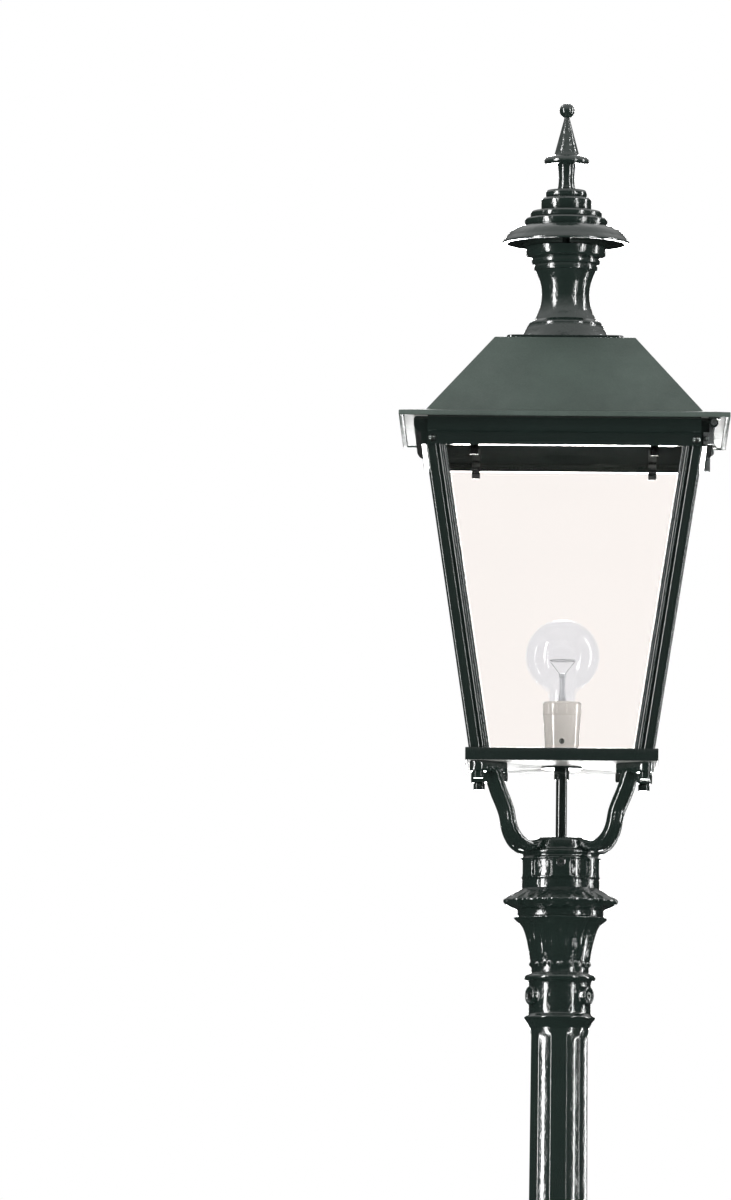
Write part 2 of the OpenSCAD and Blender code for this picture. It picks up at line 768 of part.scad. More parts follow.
// A corner post leaning out along its diagonal, cut flat at both frames
module corner_post(turn) {
    length = glazing_h / cos(post_lean) + 30;
    color(dark_green)
        intersection() {
            rotate([0, 0, turn])
                translate([glazing_half * sqrt(2), 0, glazing_z])
                    rotate([0, post_lean, 0])
                        translate([0, 0, -15])
                            rotate([0, 0, 180])
                                linear_extrude(length) post_section();
            translate([-200, -200, glazing_z]) cube([400, 400, glazing_h]);
        }
}

module post_front_left() { corner_post(-135); }
module post_front_right() { corner_post(-45); }
module post_rear_left() { corner_post(135); }
module post_rear_right() { corner_post(45); }

// A pane leaning out with its side of the lantern, held behind the legs of the posts
module pane(turn) {
    length = (glazing_h + pane_rise) / cos(face_lean);
    foot_half = glazing_half - pane_edge_gap;
    head_half = foot_half + lean * (glazing_h + pane_rise);
    color([0.95, 0.93, 0.88, 0.35])
        intersection() {
            rotate([0, 0, turn])
                translate([pane_outer, 0, glazing_z])
                    rotate([0, face_lean, 0])
                        translate([-pane_t, 0, 0])
                            rotate([90, 0, 90])
                                linear_extrude(pane_t)
                                    polygon([
                                        [-foot_half, -2], [foot_half, -2],
                                        [head_half, length], [-head_half, length]
                                    ]);
            translate([-200, -200, glazing_z]) cube([400, 400, glazing_h + pane_rise]);
        }
}

module pane_front() { pane(-90); }
module pane_right() { pane(0); }
module pane_rear() { pane(90); }
module pane_left() { pane(180); }

// Section of the moulding along one bar: a set-back lower band and a rounded upper band
module bar_section() {
    polygon(concat(
        [[-eps, 0], [lower_band_reach - 1, 0], [lower_band_reach, 1], [lower_band_reach, lower_band_h]],
        smooth([[lower_band_reach + 1, lower_band_h + 0.5], [band_reach - 3.5, lower_band_h + 2],
                [band_reach - 0.5, lower_band_h + 6], [band_reach, lower_band_h + 9]], 3),
        [[band_reach, top_frame_h - 2], [band_reach - 2, top_frame_h], [-eps, top_frame_h]]
    ));
}

// Top frame: square ring with a moulded bar on each side and open notches at the corners
module top_frame() {
    color(dark_green)
        translate([0, 0, top_frame_z])
            difference() {
                union() {
                    difference() {
                        translate([-ring_outer, -ring_outer, 0])
                            cube([2 * ring_outer, 2 * ring_outer, top_frame_h]);
                        translate([-ring_inner, -ring_inner, -1])
                            cube([2 * ring_inner, 2 * ring_inner, top_frame_h + 2]);
                    }
                    for (i = [0:3])
                        rotate([0, 0, 90 * i])
                            translate([ring_outer, ring_outer, 0])
                                rotate([90, 0, 0])
                                    linear_extrude(2 * ring_outer) bar_section();
                }
                for (x = [-1, 1], y = [-1, 1])
                    translate([x * (ring_outer - 5), y * ring_outer, 6.5])
                        rotate([90, 0, 0]) cylinder(r = 2.05, h = 40, center = true);
            }
}

module corner_screws() {
    color("#4a504d")
        for (x = [-1, 1], y = [-1, 1])
            translate([x * (ring_outer - 5), y * (ring_outer + lower_band_reach), top_frame_z + 6.5])
                rotate([-90 * y, 0, 0]) round_head_screw(4.2, 2.6, 2, lower_band_reach + 2);
}

// Spring clip with a flat back at the origin, bent over the head of a pane
module spring_clip() {
    pane_face = ring_inner - pane_inner - lean * glazing_h;
    bend = [[0, 14], [1.5, 11], [pane_face + 1.5, 8], [pane_face + 2.5, 3],
            [pane_face + 0.9, -4], [pane_face + 2.6, -9]];
    wave = concat([[0, 25]], smooth([for (p = bend) [-p[0], p[1]]], 3));
    front_side = [for (i = [len(wave) - 1:-1:0]) wave[i] + [-clip_t, 0]];
    translate([0, clip_w / 2, 0])
        rotate([90, 0, 0])
            linear_extrude(clip_w) polygon(concat(wave, front_side));
}

module pane_clips() {
    color("#c4c8c8")
        for (i = [0:3], y = [-1, 1])
            rotate([0, 0, 90 * i])
                translate([ring_inner, y * clip_at, top_frame_z])
                    difference() {
                        spring_clip();
                        translate([-5, 0, clip_screw_z - top_frame_z])
                            rotate([0, 90, 0]) cylinder(r = 1.7, h = 10);
                    }
}

module clip_screws() {
    color("#4a504d")
        for (i = [0:3], y = [-1, 1])
            rotate([0, 0, 90 * i])
                translate([ring_inner - clip_t, y * clip_at, clip_screw_z])
                    rotate([0, -90, 0]) round_head_screw(3, 1.8, 1.5, 0.8);
}

// Lamp holder: tapered porcelain body with a screwed ring
module lampholder_body() {
    color("#f1efe9")
        translate([0, 0, holder_z])
            difference() {
                rotate_extrude()
                    polygon(concat(
                        [[0, 0], [15, 0]], smooth([[16.5, 1], [17.8, 4], [18.3, 12], [19.2, 28], [20.2, 44]], 3),
                        [[20.2, 46.5], [0, 46.5]]
                    ));
                translate([0, 0, 27]) cylinder(r = 14.2, h = 30);
                translate([0, 0, -1]) cylinder(r = rod_r + 0.05, h = 9);
                translate([0, 0, -1]) cylinder(r = 3, h = 30);
                rotate([0, 0, front(0)]) {
                    translate([10, 0, holder_screw_h]) rotate([0, 90, 0]) cylinder(r = 2.05, h = 20);
                    translate([holder_screw_x, 0, holder_screw_h])
                        rotate([0, 90, 0]) cylinder(r = holder_screw_r + 0.2, h = 5);
                }
            }
}

module lampholder_ring() {
    color("#f4f2ec")
        translate([0, 0, holder_z + 46.5])
            difference() {
                rotate_extrude()
                    polygon([[16.6, 0], [holder_r - 0.6, 0], [holder_r, 1.2], [holder_r, 13],
                             [holder_r - 1.5, 15], [16.6, 15]]);
                for (i = [0:11])
                    rotate([0, 0, 30 * i + 15])
                        translate([holder_r + 1.1, 0, 2]) cylinder(r = 1.6, h = 10);
            }
}

module lampholder_screw() {
    color("#b8b9b5")
        rotate([0, 0, front(0)])
            translate([holder_screw_x, 0, holder_z + holder_screw_h])
                rotate([0, 90, 0]) round_head_screw(holder_screw_r, 1.6, 2, 5);
}

// Bulb: thin clear globe on a threaded cap
module bulb_glass() {
    neck_r = 14.6;
    outline = concat(
        [[neck_r - 1, -globe_r - 16], [neck_r, -globe_r - 15], [neck_r, -globe_r - 2]],
        smooth([[neck_r + 0.4, -globe_r], [neck_r + 3, -globe_r * 0.93], [globe_r * 0.6, -globe_r * 0.8]], 3),
        [for (a = [-48:6:84]) globe_r * [cos(a), sin(a)]],
        [[0, globe_r]]
    );
    lining = concat(
        [[0, globe_r - glass_wall]],
        [for (a = [84:-6:-48]) (globe_r - glass_wall) * [cos(a), sin(a)]],
        [[neck_r - 1.2, -globe_r * 0.9], [neck_r - 1.6, -globe_r - 15]]
    );
    color([0.98, 0.97, 0.94, 0.3])
        translate([0, 0, globe_z])
            rotate_extrude() polygon(concat(outline, lining));
}

module bulb_cap() {
    base_z = holder_z + 29;
    rim_z = globe_z - globe_r - 16;
    turns = 5;
    pitch = (rim_z - 4 - base_z - 6) / turns;
    color("#c8c2a8")
        difference() {
            union() {
                translate([0, 0, base_z + 4])
                    rotate_extrude()
                        polygon(concat(
                            [[0, 0], [8, 0], [12, 2]],
                            [for (i = [0:turns * 4]) [12.5 + 0.7 * sin(90 * i), 2 + pitch * i / 4]],
                            [[cap_screw_r, rim_z - base_z - 4], [0, rim_z - base_z - 4]]
                        ));
                translate([0, 0, base_z - 2]) cylinder(r1 = 4, r2 = 7, h = 6.1);
            }
            translate([0, 0, rim_z - 12]) cylinder(r = 11, h = 20);
        }
}

// Two straight wires that leave the head of the stem outward
module lead_wires(r) {
    for (x = [-1, 1])
        translate([x * 2.2, 0, globe_z - globe_r + 20])
            rotate([0, x * 38, 0]) cylinder(r = r, h = 19);
}

// Glass stem inside the globe, with holes for the lead wires
module bulb_stem() {
    foot = globe_z - globe_r - 28;
    color([0.95, 0.95, 0.95, 0.5])
        difference() {
            translate([0, 0, foot])
                rotate_extrude()
                    polygon(concat(
                        [[0, 0], [10.5, 0], [10.5, 2]],
                        smooth([[8, 8], [4.5, 18], [3, 30], [3, 44]], 3),
                        [[3.8, 46], [3.8, 49], [0, 50]]
                    ));
            lead_wires(lead_r + 0.05);
        }
}

// Lead wires and the ring of filament that they carry
module bulb_filament() {
    ring_r = 13;
    color("#8d8a84") {
        lead_wires(lead_r);
        translate([0, 0, globe_z - globe_r + 35.5])
            rotate_extrude() translate([ring_r, 0]) circle(0.8);
    }
}

// Roof: pyramid of sheet with a flat crown and a lipped brim
module roof() {
    color(roof_green)
        difference() {
            four_sided([
                [brim_half, brim_z], [brim_half, brim_z + brim_edge_h],
                [pyramid_foot_half, pyramid_foot_z], [crown_half, crown_z], [0, crown_z],
                [0, crown_z - roof_sheet], [crown_half - 1.8, crown_z - roof_sheet],
                [pyramid_foot_half - 3.5, brim_z + ceiling_recess + ceiling_t + 1],
                [pyramid_foot_half - 3.5, brim_z + ceiling_recess + ceiling_t],
                [brim_half - brim_lip, brim_z + ceiling_recess + ceiling_t], [brim_half - brim_lip, brim_z]
            ]);
            translate([0, 0, crown_z - 10]) cylinder(r = roof_vent_r, h = 20);
            for (x = [-1, 1], y = [-1, 1]) {
                translate([x * chimney_screw_at, y * chimney_screw_at, crown_z - 8]) cylinder(r = 2.05, h = 10);
                translate([x * ceiling_screw_x, y * ceiling_screw_y, brim_z]) cylinder(r = 2.05, h = 6.5);
            }
        }
}

module ceiling_plate() {
    side = brim_side - 2 * brim_lip - 0.6;
    color("#eceeec")
        translate([0, 0, roof_z])
            difference() {
                translate([-side / 2, -side / 2, 0]) cube([side, side, ceiling_t]);
                translate([0, 0, -1]) cylinder(r = ceiling_vent_r, h = 5);
                for (x = [-1, 1], y = [-1, 1])
                    translate([x * ceiling_screw_x, y * ceiling_screw_y, 0]) {
                        translate([0, 0, -1]) cylinder(r = 2.2, h = 4);
                        translate([0, 0, -eps]) cylinder(r1 = 3.6, r2 = 2.2, h = 1.4);
                    }
            }
}

module ceiling_screws() {
    color("#b8b9b5")
        for (x = [-1, 1], y = [-1, 1])
            translate([x * ceiling_screw_x, y * ceiling_screw_y, roof_z]) {
                cylinder(r1 = 3.5, r2 = 2.0, h = 1.5);
                cylinder(r = 2, h = 4.5);
            }
}

// Chimney: square foot, waisted neck and stepped head, with a bridge for the cap's rod
module chimney() {
    k = chimney_k;
    neck = smooth([
        [54, chimney_foot_t], [49, chimney_foot_t + 2], [43.5, 9], [41.5, 15], [38.5, 21], [34, 31], [29, 42],
        [26, 50], [25.3, 56], [26.5, 64], [30, 73], [31.5, 78]
    ], 2);
    head = [[33, 79], [33, 84], [36.5, 85], [36.5, 92], [39, 94], [42, 95.5], [42, 104], [41, 105]];
    color(roof_green)
        difference() {
            union() {
                translate([-chimney_foot_side / 2, -chimney_foot_side / 2, crown_z])
                    cube([chimney_foot_side, chimney_foot_side, chimney_foot_t]);
                turned(raised(concat([[54, 1]], neck, head), crown_z, k), chimney_bore_r);
            }
            translate([0, 0, crown_z - 1]) cylinder(r = chimney_bore_r, h = chimney_h - 25);
            translate([0, 0, chimney_top_z - 18]) cylinder(r = chimney_bore_r + 10, h = 30);
            for (x = [-1, 1], y = [-1, 1])
                translate([x * chimney_screw_at, y * chimney_screw_at, crown_z - 1]) cylinder(r = 2.05, h = 30);
            for (x = [-1, 1], y = [-1, 1])
                translate([x * chimney_screw_at, y * chimney_screw_at, crown_z + chimney_foot_t])
                    cylinder(r = 6.5, h = 20);
        }
    color(roof_green)
        translate([0, 0, bridge_z])
            difference() {
                intersection() {
                    translate([-30, -6, 0]) cube([60, 12, bridge_t]);
                    cylinder(r = chimney_bore_r + 2, h = bridge_t);
                }
                translate([0, 0, -1]) cylinder(r = cap_rod_r + fit_gap, h = bridge_t + 2);
            }
}

module chimney_screws() {
    color("#4a504d")
        for (x = [-1, 1], y = [-1, 1])
            translate([x * chimney_screw_at, y * chimney_screw_at, crown_z + chimney_foot_t])
                round_head_screw(5, 3.6, 2, chimney_foot_t + roof_sheet + 3);
}

// Rain cap: bell-shaped, hollow below, with stepped rings on top
module chimney_cap() {
    k = cap_k_r;
    dome = smooth([
        [cap_r, 3], [64.5 * k, 6], [62.5 * k, 9.4], [59 * k, 12.7], [54.5 * k, 16], [47.5 * k, 19.2]
    ], 2);
    outline = concat(
        [[cap_r, 0]], dome,
        [[43 * k, 22], [44 * k, 23.5], [44 * k, 27.5], [42.5 * k, 29.3], [37 * k, 30], [38 * k, 31.5], [38 * k, 36],
         [36.5 * k, 37.8], [25 * k, 38.8], [26 * k, 40.5], [26 * k, 50], [24.5 * k, 52], [19.5 * k, 53],
         [20.5 * k, 54.5], [20.5 * k, 58], [19 * k, 59.5], [9, cap_h]]
    );
    lining = [
        [cap_rod_r + fit_gap, cap_h], [cap_rod_r + fit_gap, 30], [20 * k, 30], [32 * k, 24],
        [40 * k, 16], [52 * k, 12], [60 * k, 5], [63 * k, 0]
    ];
    color(dark_green)
        translate([0, 0, cap_z])
            rotate_extrude() polygon(concat(outline, lining));
}

module cap_rod() {
    color("#9a9d9b")
        translate([0, 0, bridge_z - 8])
            cylinder(r = cap_rod_r, h = finial_z + 14 - bridge_z + 8);
}

module cap_nuts() {
    color("#9a9d9b") {
        for (z = [bridge_z - 6, bridge_z + bridge_t, cap_z + 24])
            translate([0, 0, z]) nut(7.5, cap_rod_r + 0.05, 6);
    }
}

// Finial: stem, domed disc, cone and ball
module finial() {
    z = finial_z;
    outline = concat(
        [[0, 0], [8.5, 0]], smooth([[8.5, 1], [7.6, 6], [7.4, 14], [8.6, 22]], 3),
        [[10, 23.4], [22.5, 23.4], [24, 24.8], [24, 27]],
        smooth([[24, 27], [22, 30], [17, 31.8], [13, 32.2]], 3),
        smooth([[13, 33], [12, 38], [7.5, 53], [3.6, 66], [2.4, 76]], 3),
        [[2.4, 82], [0, 82]]
    );
    color(dark_green)
        difference() {
            union() {
                translate([0, 0, z]) rotate_extrude() polygon(outline);
                translate([0, 0, z + 78 + ball_r]) sphere(ball_r);
            }
            translate([0, 0, z - 1]) cylinder(r = cap_rod_r + 0.05, h = 16);
        }
}

// Roof hinge: a fixed leaf on the end of the right-hand bar at each corner notch
module hinge_frame_leaves() {
    color("#aab0ae")
        for (m = [0, 1])
            mirror([0, m, 0])
                translate([0, -ring_outer, 0])
                    rotate([90, 0, 0])
                        linear_extrude(frame_leaf_t)
                            difference() {
                                union() {
                                    translate([hinge_x, hinge_z]) circle(hinge_knuckle_r);
                                    translate([hinge_x - frame_leaf_w, top_frame_z + 2])
                                        square([frame_leaf_w + frame_leaf_reach, 13]);
                                    translate([hinge_x - hinge_knuckle_r, top_frame_z + 4])
                                        square([hinge_knuckle_r + frame_leaf_reach, hinge_z - top_frame_z - 4]);
                                }
                                translate([hinge_x, hinge_z]) circle(hinge_pin_r);
                                translate([hinge_screw_x, top_frame_z + 8]) circle(1.6);
                            }
}

module hinge_roof_leaves() {
    start = -ring_outer - frame_leaf_t - hinge_leaf_gap;
    color("#3f4b47")
        for (m = [0, 1])
            mirror([0, m, 0])
                translate([0, start, 0])
                    rotate([90, 0, 0])
                        linear_extrude(roof_leaf_w)
                            difference() {
                                union() {
                                    translate([hinge_x, hinge_z]) circle(hinge_knuckle_r);
                                    translate([hinge_x - 6, roof_z - 1.6]) square([13, 1.6]);
                                    translate([hinge_x - 2.5, hinge_z]) square([5, roof_z - hinge_z]);
                                }
                                translate([hinge_x, hinge_z]) circle(hinge_pin_r + hinge_run_gap);
                            }
}

module hinge_pins() {
    color("#aab0ae")
        for (m = [0, 1])
            mirror([0, m, 0])
                translate([hinge_x, -ring_outer, hinge_z])
                    rotate([90, 0, 0]) {
                        cylinder(r = hinge_pin_r, h = frame_leaf_t + hinge_leaf_gap + roof_leaf_w + 0.4);
                        translate([0, 0, frame_leaf_t + hinge_leaf_gap + roof_leaf_w + 0.4])
                            cylinder(r = 3.4, h = 1.4);
                    }
}

module hinge_screws() {
    color("#8a8f8d")
        for (m = [0, 1])
            mirror([0, m, 0])
                translate([hinge_screw_x, -ring_outer - frame_leaf_t, top_frame_z + 8])
                    rotate([90, 0, 0]) round_head_screw(2.9, 1.7, 1.55, frame_leaf_t);
}

base_pedestal();
baluster();
shaft();
capital();
capital_screws();
cradle();
cradle_screws();
cradle_bolts();
conduit_rod();
rod_nuts();
rod_washer();
bottom_frame();
bottom_plate();
post_front_left();
post_front_right();
post_rear_left();
post_rear_right();
pane_front();
pane_right();
pane_rear();
pane_left();
top_frame();
corner_screws();
pane_clips();
clip_screws();
lampholder_body();
lampholder_ring();
lampholder_screw();
bulb_glass();
bulb_cap();
bulb_stem();
bulb_filament();
roof();
ceiling_plate();
ceiling_screws();
chimney();
chimney_screws();
chimney_cap();
cap_rod();
cap_nuts();
finial();
hinge_frame_leaves();
hinge_roof_leaves();
hinge_pins();
hinge_screws();
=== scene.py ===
"""Garden lantern on a fluted cast post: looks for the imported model.

Shapes are worked out in millimetres, and each piece becomes metres when it is made.
"""

import math

import bpy
import numpy as np
from mathutils import Matrix, Vector


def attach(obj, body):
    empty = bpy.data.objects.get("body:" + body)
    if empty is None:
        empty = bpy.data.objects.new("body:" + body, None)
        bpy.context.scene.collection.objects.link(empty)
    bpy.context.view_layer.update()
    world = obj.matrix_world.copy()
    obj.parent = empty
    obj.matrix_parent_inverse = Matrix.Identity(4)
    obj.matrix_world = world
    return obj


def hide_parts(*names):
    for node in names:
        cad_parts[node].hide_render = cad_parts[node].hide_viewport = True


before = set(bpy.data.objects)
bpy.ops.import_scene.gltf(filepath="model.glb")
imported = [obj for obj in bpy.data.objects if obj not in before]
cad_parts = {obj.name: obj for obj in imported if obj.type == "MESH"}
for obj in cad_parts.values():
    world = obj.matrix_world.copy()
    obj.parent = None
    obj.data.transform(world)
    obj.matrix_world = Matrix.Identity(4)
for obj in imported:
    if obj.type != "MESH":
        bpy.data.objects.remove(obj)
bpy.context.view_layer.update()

MM = 0.001

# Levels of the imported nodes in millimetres
BALUSTER_Z = 713.0
SHAFT_Z = 1202.0
CAPITAL_Z = 1989.0
CRADLE_Z = 2149.0
LANTERN_Z = 2273.0
CROWN_Z = 2734.0
CAP_Z = 2844.0
FINIAL_Z = 2904.6

# Turns in degrees: the camera's side, and the leaf veins next to it
FRONT = -90.0
VEIN = FRONT - 25.0

# What repeats round the post
FOOT_LEAVES = 12
ROPE_STRANDS = 14
VASE_LEAVES = 6
VASE_FOOT_NOTCHES = 18
TULIP_PETALS = 6
FLUTES = 12
CAPITAL_LEAVES = 8
CAPITAL_BEADS = 20
DISC_PETALS = 12
COLLAR_WINDOWS = 6
COLLAR_SCREWS = 3
CRADLE_ARMS = 4

# Columns of the turned pieces
CARVED_COLUMNS = 288
VASE_COLUMNS = 300
COLLAR_COLUMNS = 360
TURNED_COLUMNS = 160
FINIAL_COLUMNS = 96
BOSS_COLUMNS = 48

# Scene collection shorthand
link_object = bpy.context.scene.collection.objects.link


# Curves and reliefs


def smooth(points, steps):
    """Catmull-Rom curve through the points, with a number of steps between two of them"""
    out = []
    last = len(points) - 1
    for i in range(last):
        near = (points[min(max(k, 0), last)] for k in (i - 1, i, i + 1, i + 2))
        a, b, c, d = (np.array(point, float) for point in near)
        for s in range(steps):
            t = s / steps
            bend = (2 * a - 5 * b + 4 * c - d) * t * t
            twist = (3 * b - a - 3 * c + d) * t**3
            out.append(tuple(0.5 * (2 * b + (c - a) * t + bend + twist)))
    return out + [tuple(points[last])]


def straight(points, steps):
    """The same outline with each straight stretch cut into steps"""
    out = []
    for (r0, z0), (r1, z1) in zip(points, points[1:]):
        out += [(r0 + (r1 - r0) * s / steps, z0 + (z1 - z0) * s / steps) for s in range(steps)]
    return out + [points[-1]]


def stretched(points, k):
    """The same outline with its heights times k"""
    return [(r, z * k) for r, z in points]


def oval(count, power):
    """Unit round-cornered section; a higher power has squarer corners"""
    out = []
    for j in range(count):
        a = 2 * math.pi * (j + 0.5) / count
        c, s = math.cos(a), math.sin(a)
        u = math.copysign(abs(c) ** (2 / power), c)
        v = math.copysign(abs(s) ** (2 / power), s)
        out.append((u, v))
    return out


def sector(angle, count):
    """Angle from the middle of the nearest of count equal sectors, in degrees"""
    w = 360.0 / count
    return angle - w * np.floor(angle / w + 0.5)


def hump(x, w):
    """Rounded bump of height 1 at x = 0 that ends w to either side"""
    x = np.abs(x)
    return np.where(x >= w, 0.0, 0.5 + 0.5 * np.cos(np.pi * np.minimum(x, w) / w))


def ramp(x, low, high):
    """Smooth rise from 0 at low to 1 at high"""
    t = np.clip((x - low) / (high - low), 0, 1)
    return t * t * (3 - 2 * t)


def band(x, start, full, leave, end):
    """Smooth rise from start to full and fall from leave to end"""
    return ramp(x, start, full) * ramp(-x, -end, -leave)


# Material nodes

NOISE_ROUGHNESS = 0.55


def linear(*rgb):
    """sRGB values of 0 to 255 as a linear colour"""
    values = [c / 255 for c in rgb]
    return tuple(c / 12.92 if c <= 0.04045 else ((c + 0.055) / 1.055) ** 2.4 for c in values) + (1.0,)


def scaled(colour, k):
    """The colour times k, with no channel above 1"""
    return tuple(min(1.0, c * k) for c in colour[:3]) + (1.0,)


def node_material(name):
    """A material with an empty tree"""
    m = bpy.data.materials.new(name)
    m.use_nodes = True
    m.node_tree.nodes.clear()
    return m


def surface_material(name):
    """A material with a principled shader on its output"""
    m = node_material(name)
    tree = m.node_tree
    out = tree.nodes.new("ShaderNodeOutputMaterial")
    shader = tree.nodes.new("ShaderNodeBsdfPrincipled")
    tree.links.new(shader.outputs[0], out.inputs["Surface"])
    return m, tree, shader


def add(tree, kind, inputs=None, **settings):
    """A node with its settings and inputs; an input is a value or another node's output"""
    n = tree.nodes.new(kind)
    for key, value in settings.items():
        setattr(n, key, value)
    for key, value in (inputs or {}).items():
        if isinstance(value, bpy.types.NodeSocket):
            tree.links.new(value, n.inputs[key])
        else:
            n.inputs[key].default_value = value
    return n


def noise(tree, scale, detail):
    place = add(tree, "ShaderNodeTexCoord").outputs["Object"]
    inputs = {"Vector": place, "Scale": scale, "Detail": detail, "Roughness": NOISE_ROUGHNESS}
    return add(tree, "ShaderNodeTexNoise", inputs).outputs["Fac"]


def mapped(tree, value, low, high, start=0.3, end=0.7):
    """The value's stretch from start to end, laid on low to high"""
    inputs = {"Value": value, "From Min": start, "From Max": end, "To Min": low, "To Max": high}
    return add(tree, "ShaderNodeMapRange", inputs).outputs[0]


def mixed(tree, factor, a, b):
    """Colour a where the factor is 0 and colour b where it is 1"""
    inputs = {"Factor": factor, 6: a, 7: b}
    return add(tree, "ShaderNodeMix", inputs, data_type="RGBA").outputs[2]


def bumped(tree, layers):
    """Bump layers as (height, distance in metres), laid over each other"""
    normal = None
    for height, distance in layers:
        inputs = {"Strength": 1.0, "Distance": distance, "Height": height}
        if normal is not None:
            inputs["Normal"] = normal
        normal = add(tree, "ShaderNodeBump", inputs).outputs[0]
    return normal


GRAIN_SHARE = 0.45
GRAIN_CONTRAST = 0.7
PAINT_COAT_ROUGHNESS = 0.08


def paint(name, colour, roughness, spread, lumps, peel, variation=0.16, lump_scale=110.0, coat=0.0,
          level=0.5):
    """Enamel: clouds and grain of tone, uneven gloss, and lumps and orange peel of a height in metres"""
    m, tree, shader = surface_material(name)
    clouds = mapped(tree, noise(tree, 14.0, 4.0), 0.0, 1.0)
    grain = mapped(tree, noise(tree, 620.0, 2.0), 0.0, 1.0)
    tone = mixed(tree, clouds, scaled(colour, 1 - variation), scaled(colour, 1 + variation))
    contrast = GRAIN_CONTRAST * variation
    fine = mixed(tree, grain, scaled(colour, 1 - contrast), scaled(colour, 1 + contrast))
    tree.links.new(mixed(tree, GRAIN_SHARE, tone, fine), shader.inputs["Base Color"])
    gloss = mapped(tree, noise(tree, 55.0, 5.0), roughness - spread, roughness + spread)
    tree.links.new(gloss, shader.inputs["Roughness"])
    layers = [(noise(tree, lump_scale, 3.0), lumps), (noise(tree, 900.0, 2.0), peel)]
    tree.links.new(bumped(tree, layers), shader.inputs["Normal"])
    shader.inputs["Specular IOR Level"].default_value = level
    shader.inputs["Coat Weight"].default_value = coat
    shader.inputs["Coat Roughness"].default_value = PAINT_COAT_ROUGHNESS
    return m


TOOL_MARK_DEPTH = 0.00004


def metal(name, colour, roughness):
    """Plain or plated metal with fine tool marks and uneven polish"""
    m, tree, shader = surface_material(name)
    clouds = mapped(tree, noise(tree, 160.0, 4.0), 0.0, 1.0)
    tone = mixed(tree, clouds, scaled(colour, 0.82), scaled(colour, 1.12))
    tree.links.new(tone, shader.inputs["Base Color"])
    marks = noise(tree, 1400.0, 3.0)
    tree.links.new(mapped(tree, marks, roughness * 0.7, roughness * 1.35), shader.inputs["Roughness"])
    tree.links.new(bumped(tree, [(marks, TOOL_MARK_DEPTH)]), shader.inputs["Normal"])
    shader.inputs["Metallic"].default_value = 1.0
    return m


GLASS_MIRROR = (0.95, 0.96, 0.97, 1.0)


def glass(name, tint, roughness, ior=None, share=None):
    """Thin clear glass: a faint tint of what is behind it, and a mirror by Fresnel or of an even share"""
    m, tree, shader = surface_material(name)
    clouds = mapped(tree, noise(tree, 5.0, 2.0), 0.0, 1.0)
    behind = mixed(tree, clouds, scaled(tint, 0.998), scaled(tint, 1.002))
    film = add(tree, "ShaderNodeBsdfTransparent", {"Color": behind})
    shader.inputs["Base Color"].default_value = GLASS_MIRROR
    shader.inputs["Metallic"].default_value = 1.0
    polish = mapped(tree, noise(tree, 30.0, 2.0), 0.0, roughness)
    tree.links.new(polish, shader.inputs["Roughness"])
    mirror = add(tree, "ShaderNodeFresnel", {"IOR": ior}).outputs[0] if ior else share
    both = add(tree, "ShaderNodeMixShader", {0: mirror, 1: film.outputs[0], 2: shader.outputs[0]})
    tree.links.new(both.outputs[0], tree.nodes["Material Output"].inputs["Surface"])
    return m


def porcelain(name, colour):
    """White glazed ware with faint specks and ripples"""
    m, tree, shader = surface_material(name)
    specks = mapped(tree, noise(tree, 480.0, 3.0), 0.0, 1.0, 0.25, 0.75)
    tone = mixed(tree, specks, scaled(colour, 0.95), scaled(colour, 1.02))
    tree.links.new(tone, shader.inputs["Base Color"])
    tree.links.new(mapped(tree, noise(tree, 70.0, 3.0), 0.12, 0.26), shader.inputs["Roughness"])
    tree.links.new(bumped(tree, [(noise(tree, 240.0, 3.0), 0.00005)]), shader.inputs["Normal"])
    shader.inputs["Coat Weight"].default_value = 0.6
    shader.inputs["Coat Roughness"].default_value = 0.06
    return m


# Looks of the lantern. The stem inside the globe is pale and solid, since one more clear layer
# behind pane and globe would render black

CAST = paint("cast_enamel", linear(30, 42, 38), roughness=0.15, spread=0.05, lumps=0.0012,
             peel=0.00001, coat=0.6)
SHAFT = paint("shaft_enamel", linear(32, 44, 40), roughness=0.17, spread=0.05, lumps=0.0008,
              peel=0.00001, coat=0.6, lump_scale=120.0)
LANTERN = paint("lantern_enamel", linear(30, 40, 37), roughness=0.18, spread=0.05, lumps=0.0002,
                peel=0.000008, coat=0.4)
ROOF = paint("roof_enamel", linear(74, 88, 81), roughness=0.5, spread=0.08, lumps=0.00008,
             peel=0.0001, variation=0.26, level=0.35)
COWL = paint("cowl_enamel", linear(34, 46, 42), roughness=0.16, spread=0.05, lumps=0.0011,
             peel=0.00001, coat=0.5)
PLATE = paint("pale_plate", linear(176, 177, 173), roughness=0.5, spread=0.08, lumps=0.00004,
              peel=0.00003, variation=0.03)
PANE = glass("pane_glass", (0.997, 0.983, 0.974, 1.0), roughness=0.02, ior=1.2)
GLOBE = glass("globe_glass", (0.975, 0.985, 1.0, 1.0), roughness=0.03, share=0.025)
STEM = paint("stem_glass", linear(238, 240, 242), roughness=0.4, spread=0.05, lumps=0.00001,
             peel=0.00001, variation=0.05)
CHINA = porcelain("porcelain", linear(253, 251, 247))
BRASS = metal("cap_brass", (0.75, 0.66, 0.45, 1.0), roughness=0.3)
STEEL = metal("screw_steel", (0.2, 0.22, 0.21, 1.0), roughness=0.3)
SPRING = metal("spring_steel", (0.16, 0.17, 0.17, 1.0), roughness=0.22)
ZINC = metal("zinc_steel", (0.5, 0.53, 0.53, 1.0), roughness=0.3)
WIRE = paint("filament_wire", linear(236, 237, 238), roughness=0.4, spread=0.05, lumps=0.00001,
             peel=0.00001, variation=0.05)

PANES = ["pane_front", "pane_right", "pane_rear", "pane_left"]
POSTS = ["post_front_left", "post_front_right", "post_rear_left", "post_rear_right"]

